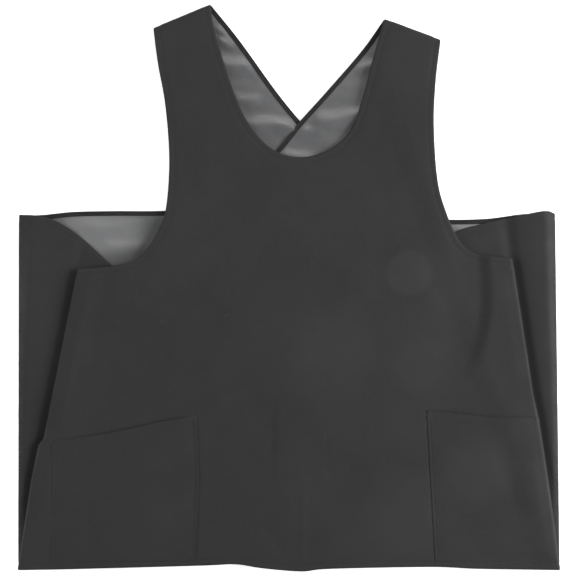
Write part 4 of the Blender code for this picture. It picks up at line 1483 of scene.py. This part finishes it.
def build_pocket(side, mouth_points, inner_points, outer_points, folds):
    body = side + "_pocket"
    mouth = smooth(mouth_points)
    if side == "left":
        first, second = smooth(inner_points), smooth(outer_points)
    else:
        first, second = smooth(outer_points), smooth(inner_points)
    foot = straight([first[-1], second[0]])
    sewn = ((first, -1), (foot, -1), (second, -1))
    whole = closed_outline(mouth, first, foot, second)
    x_middle = float((first[-1][0] + second[0][0]) / 2)
    place = {"level": front_level, "facing": 1, "folds": folds}

    def face(plan, distance, along):
        """Outer face of the pocket: sewn down at the sides and foot, open at the mouth."""
        to_sewn = from_edges(plan, sewn)[0]
        to_foot = plan[:, 1] - POCKET_FOOT_Y
        to_mouth = from_path(plan, mouth)[0]
        front = front_face(plan)
        under = front + POCKET_FACE
        bulged = ramp(to_sewn, *BULGE_FROM_SEWN) * ramp(to_mouth, *BULGE_FROM_MOUTH)
        lifted = bell(to_mouth, MOUTH_LIFT_WIDTH) * ramp(to_sewn, *MOUTH_LIFT_FROM_SEWN)
        free = POCKET_TOP + POCKET_BULGE * bulged + MOUTH_LIFT * lifted
        height = under + (free - under) * ramp(to_sewn, *SEWN_RISE)
        height += MOUTH_THICKNESS * (1 - ramp(to_mouth, *MOUTH_HEM_END))
        height -= MOUTH_STITCH_DEPTH * bell(to_mouth - MOUTH_HEM, MOUTH_STITCH_WIDTH)
        at_side = ramp(to_foot, POCKET_STITCH, 3 * POCKET_STITCH)
        height -= POCKET_STITCH_DEPTH * bell(to_sewn - POCKET_STITCH, STITCH_WIDTH) * at_side
        height += ripple(plan, *POCKET_TEXTURE) * ramp(to_sewn, *TEXTURE_START)
        height += pucker(plan, to_sewn, along, POCKET_STITCH) * at_side
        nearest = np.minimum(np.where(to_foot < POCKET_EDGE, FAR, to_sewn), to_mouth)
        share = np.clip(nearest / POCKET_EDGE, 0, 1)
        turned = POCKET_TURN * (1 - np.sqrt(1 - (1 - share) ** 2))
        return np.maximum(height - turned, front + COVER + POCKET_ROOM)

    def even_face(plan):
        """The same without the puckers' change along the seam."""
        return face(plan, None, np.zeros(len(plan)))

    def lift(plan):
        return even_face(plan), 1.0

    def tape_top(plan, distance, along):
        lowest = front_face(plan) + MOUTH_TAPE_FLOOR + MOUTH_TAPE_THICKNESS
        return np.maximum(even_face(plan) - COVER - MOUTH_TAPE_ROOM, lowest)

    for name, keep_left in (("left_half", True), ("right_half", False)):
        kept = clipped(whole, x_middle, keep_left)
        edges = [(clip_path(path, x_middle, keep_left), -1)
                 for path in (mouth, first, foot, second)]
        edges = [edge for edge in edges if len(edge[0]) > 1]
        half = slab(f"{body}_{name}", kept, below(face, COVER), face, cover_cloth, place,
                    edges=edges, rows=POCKET_ROWS)
        declare(half, "cover_cloth", body, outline=kept,
                rides=False)
        strip = clip_path(mouth, x_middle, keep_left)
        tape_path = strip[END_POINTS:] if keep_left else strip[:-END_POINTS]
        near, far = MOUTH_TAPE
        tape_outline = np.vstack((offset(tape_path, near, -1), offset(tape_path, far, -1)[::-1]))
        tape = slab(f"{body}_mouth_tape_{name}", tape_outline,
                    below(tape_top, MOUTH_TAPE_THICKNESS), tape_top, tape_cloth, place)
        declare(tape, "facing_tape", body + "_mouth_tape",
                strip=(length_of(tape_path), far - near), rides=False)
        at_corner = slice(END_POINTS, -1) if keep_left else slice(1, -END_POINTS)
        rows = [(offset(strip, margin, -1)[at_corner], lift, place)
                for margin in (MOUTH_HEM, MOUTH_EDGE_STITCH)]
        stitching = threads(f"{body}_mouth_stitching_{name}", rows)
        declare(stitching, "cover_cloth", rides=False)
        for piece in (half, tape, stitching):
            start, end = span_to_middle(second if keep_left else first, whole, x_middle)
            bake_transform(piece)
            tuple(start)
            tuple(end)

    # The left pocket's outer side has one row; the right one's is sewn into the crease
    inner_side, outer_side = (first, second) if side == "left" else (second, first)
    rows = [stitch_row(inner_side, -1, margin, lift, place)
            for margin in (*POCKET_STITCH_PAIR, POCKET_BAR_STITCH)]
    if side == "left":
        rows.append(stitch_row(outer_side, -1, POCKET_STITCH, lift, place))
    declare(threads(body + "_side_stitching", rows), "cover_cloth")


def clip_path(path, x, keep_left):
    """The part of a path to one side of an upright line, with a point on the line."""
    upright = [(np.array((x, 0.0)), np.array((1.0, 0.0)), None)]
    points, marks = crossed(path, upright)
    keep = (points[:, 0] <= x + CLOSE) if keep_left else (points[:, 0] >= x - CLOSE)
    return points[keep | marks]


def clipped(outline, x, keep_left):
    """The part of a closed outline to one side of an upright line."""
    points = clip_path(np.vstack((outline, outline[:1])), x, keep_left)
    if np.linalg.norm(points[0] - points[-1]) < CLOSE:
        points = points[:-1]
    return closed_outline(points)


# ---- putting it together ----------------------------------------------------------------
build_front()
build_gusset("left", LEFT_SIDE_TOP, LEFT_HIDDEN_TOP, LEFT_HIDDEN_END, LEFT_OUTER, LEFT_INNER,
             LEFT_CREASE, LEFT_SIDE_RISE, True)
build_gusset("right", RIGHT_SIDE_TOP, RIGHT_HIDDEN_TOP, RIGHT_HIDDEN_END, RIGHT_OUTER,
             RIGHT_INNER, RIGHT_CREASE, RIGHT_SIDE_RISE, False)
build_back("left", LEFT_BACK_TOP, LEFT_CENTRE_EDGE, RIGHT_STRAP_ARM, LEFT_OUTER,
           upper_back_level, 11.0)
build_back("right", RIGHT_BACK_TOP, RIGHT_CENTRE_EDGE, LEFT_STRAP_ARM, RIGHT_OUTER,
           level_at(BACK_LEVEL), 12.0)
build_strap("left", LEFT_STRAP_NECK, LEFT_STRAP_ARM,
            Fold(LEFT_SHOULDER, LEFT_SHOULDER_RADIUS, up=True), level_at(BACK_LEVEL), 13.0)
build_strap("right", RIGHT_STRAP_NECK, RIGHT_STRAP_ARM,
            Fold(RIGHT_SHOULDER, RIGHT_SHOULDER_RADIUS, up=True), upper_back_level, 14.0)
build_pocket("left", LEFT_POCKET_MOUTH, LEFT_POCKET_INNER, LEFT_POCKET_OUTER, ())
build_pocket("right", RIGHT_POCKET_MOUTH, RIGHT_POCKET_INNER, RIGHT_POCKET_OUTER,
             (right_crease_down,))

# ---- table, camera and lights -----------------------------------------------------------
TABLE_HALF = 20.0
FRAME_WIDTH = 0.8928            # width of the view at the height of the front, in metres
LENS = 100.0
SENSOR = 36.0
CLIP_END = 50.0
VIEW_CENTRE = (-0.0014, -0.0005)
FRONT_Z = 0.012
WORLD_STRENGTH = 0.14
# Each: name, place, width and height in metres, and watts
SOFTBOXES = (
    ("softbox_right", (2.4, 0.1, 1.25), (1.6, 1.4), 103),
    ("softbox_left", (-2.4, 0.2, 0.85), (1.6, 1.0), 37),
    ("softbox_top", (0.1, 1.8, 2.1), (1.4, 0.6), 20),
    ("softbox_foot", (0.0, -2.3, 1.2), (1.8, 0.8), 12),
)

floor_mesh = bpy.data.meshes.new("table")
corners = [(x * TABLE_HALF, y * TABLE_HALF, 0) for x, y in ((-1, -1), (1, -1), (1, 1), (-1, 1))]
floor_mesh.from_pydata(corners, [], [(0, 1, 2, 3)])
floor_mesh.materials.append(floor_material())
in_scene("table", floor_mesh)

camera_data = bpy.data.cameras.new("camera")
camera_data.lens = LENS
camera_data.sensor_width = SENSOR
camera_data.clip_end = CLIP_END
camera_place = (*VIEW_CENTRE, FRONT_Z + FRAME_WIDTH * LENS / SENSOR)
bpy.context.scene.camera = in_scene("camera", camera_data, camera_place)

for name, place, size, watts in SOFTBOXES:
    light = bpy.data.lights.new(name, "AREA")
    light.shape = "RECTANGLE"
    light.size, light.size_y = size
    light.energy = watts
    towards_garment = (-Vector(place)).to_track_quat("-Z", "Y")
    in_scene(name, light, place).rotation_euler = towards_garment.to_euler()

world = bpy.data.worlds.new("studio")
world.use_nodes = True
background = world.node_tree.nodes["Background"]
background.inputs["Color"].default_value = (*WHITE, 1)
background.inputs["Strength"].default_value = WORLD_STRENGTH
bpy.context.scene.world = world
bpy.context.scene.view_settings.view_transform = "Standard"
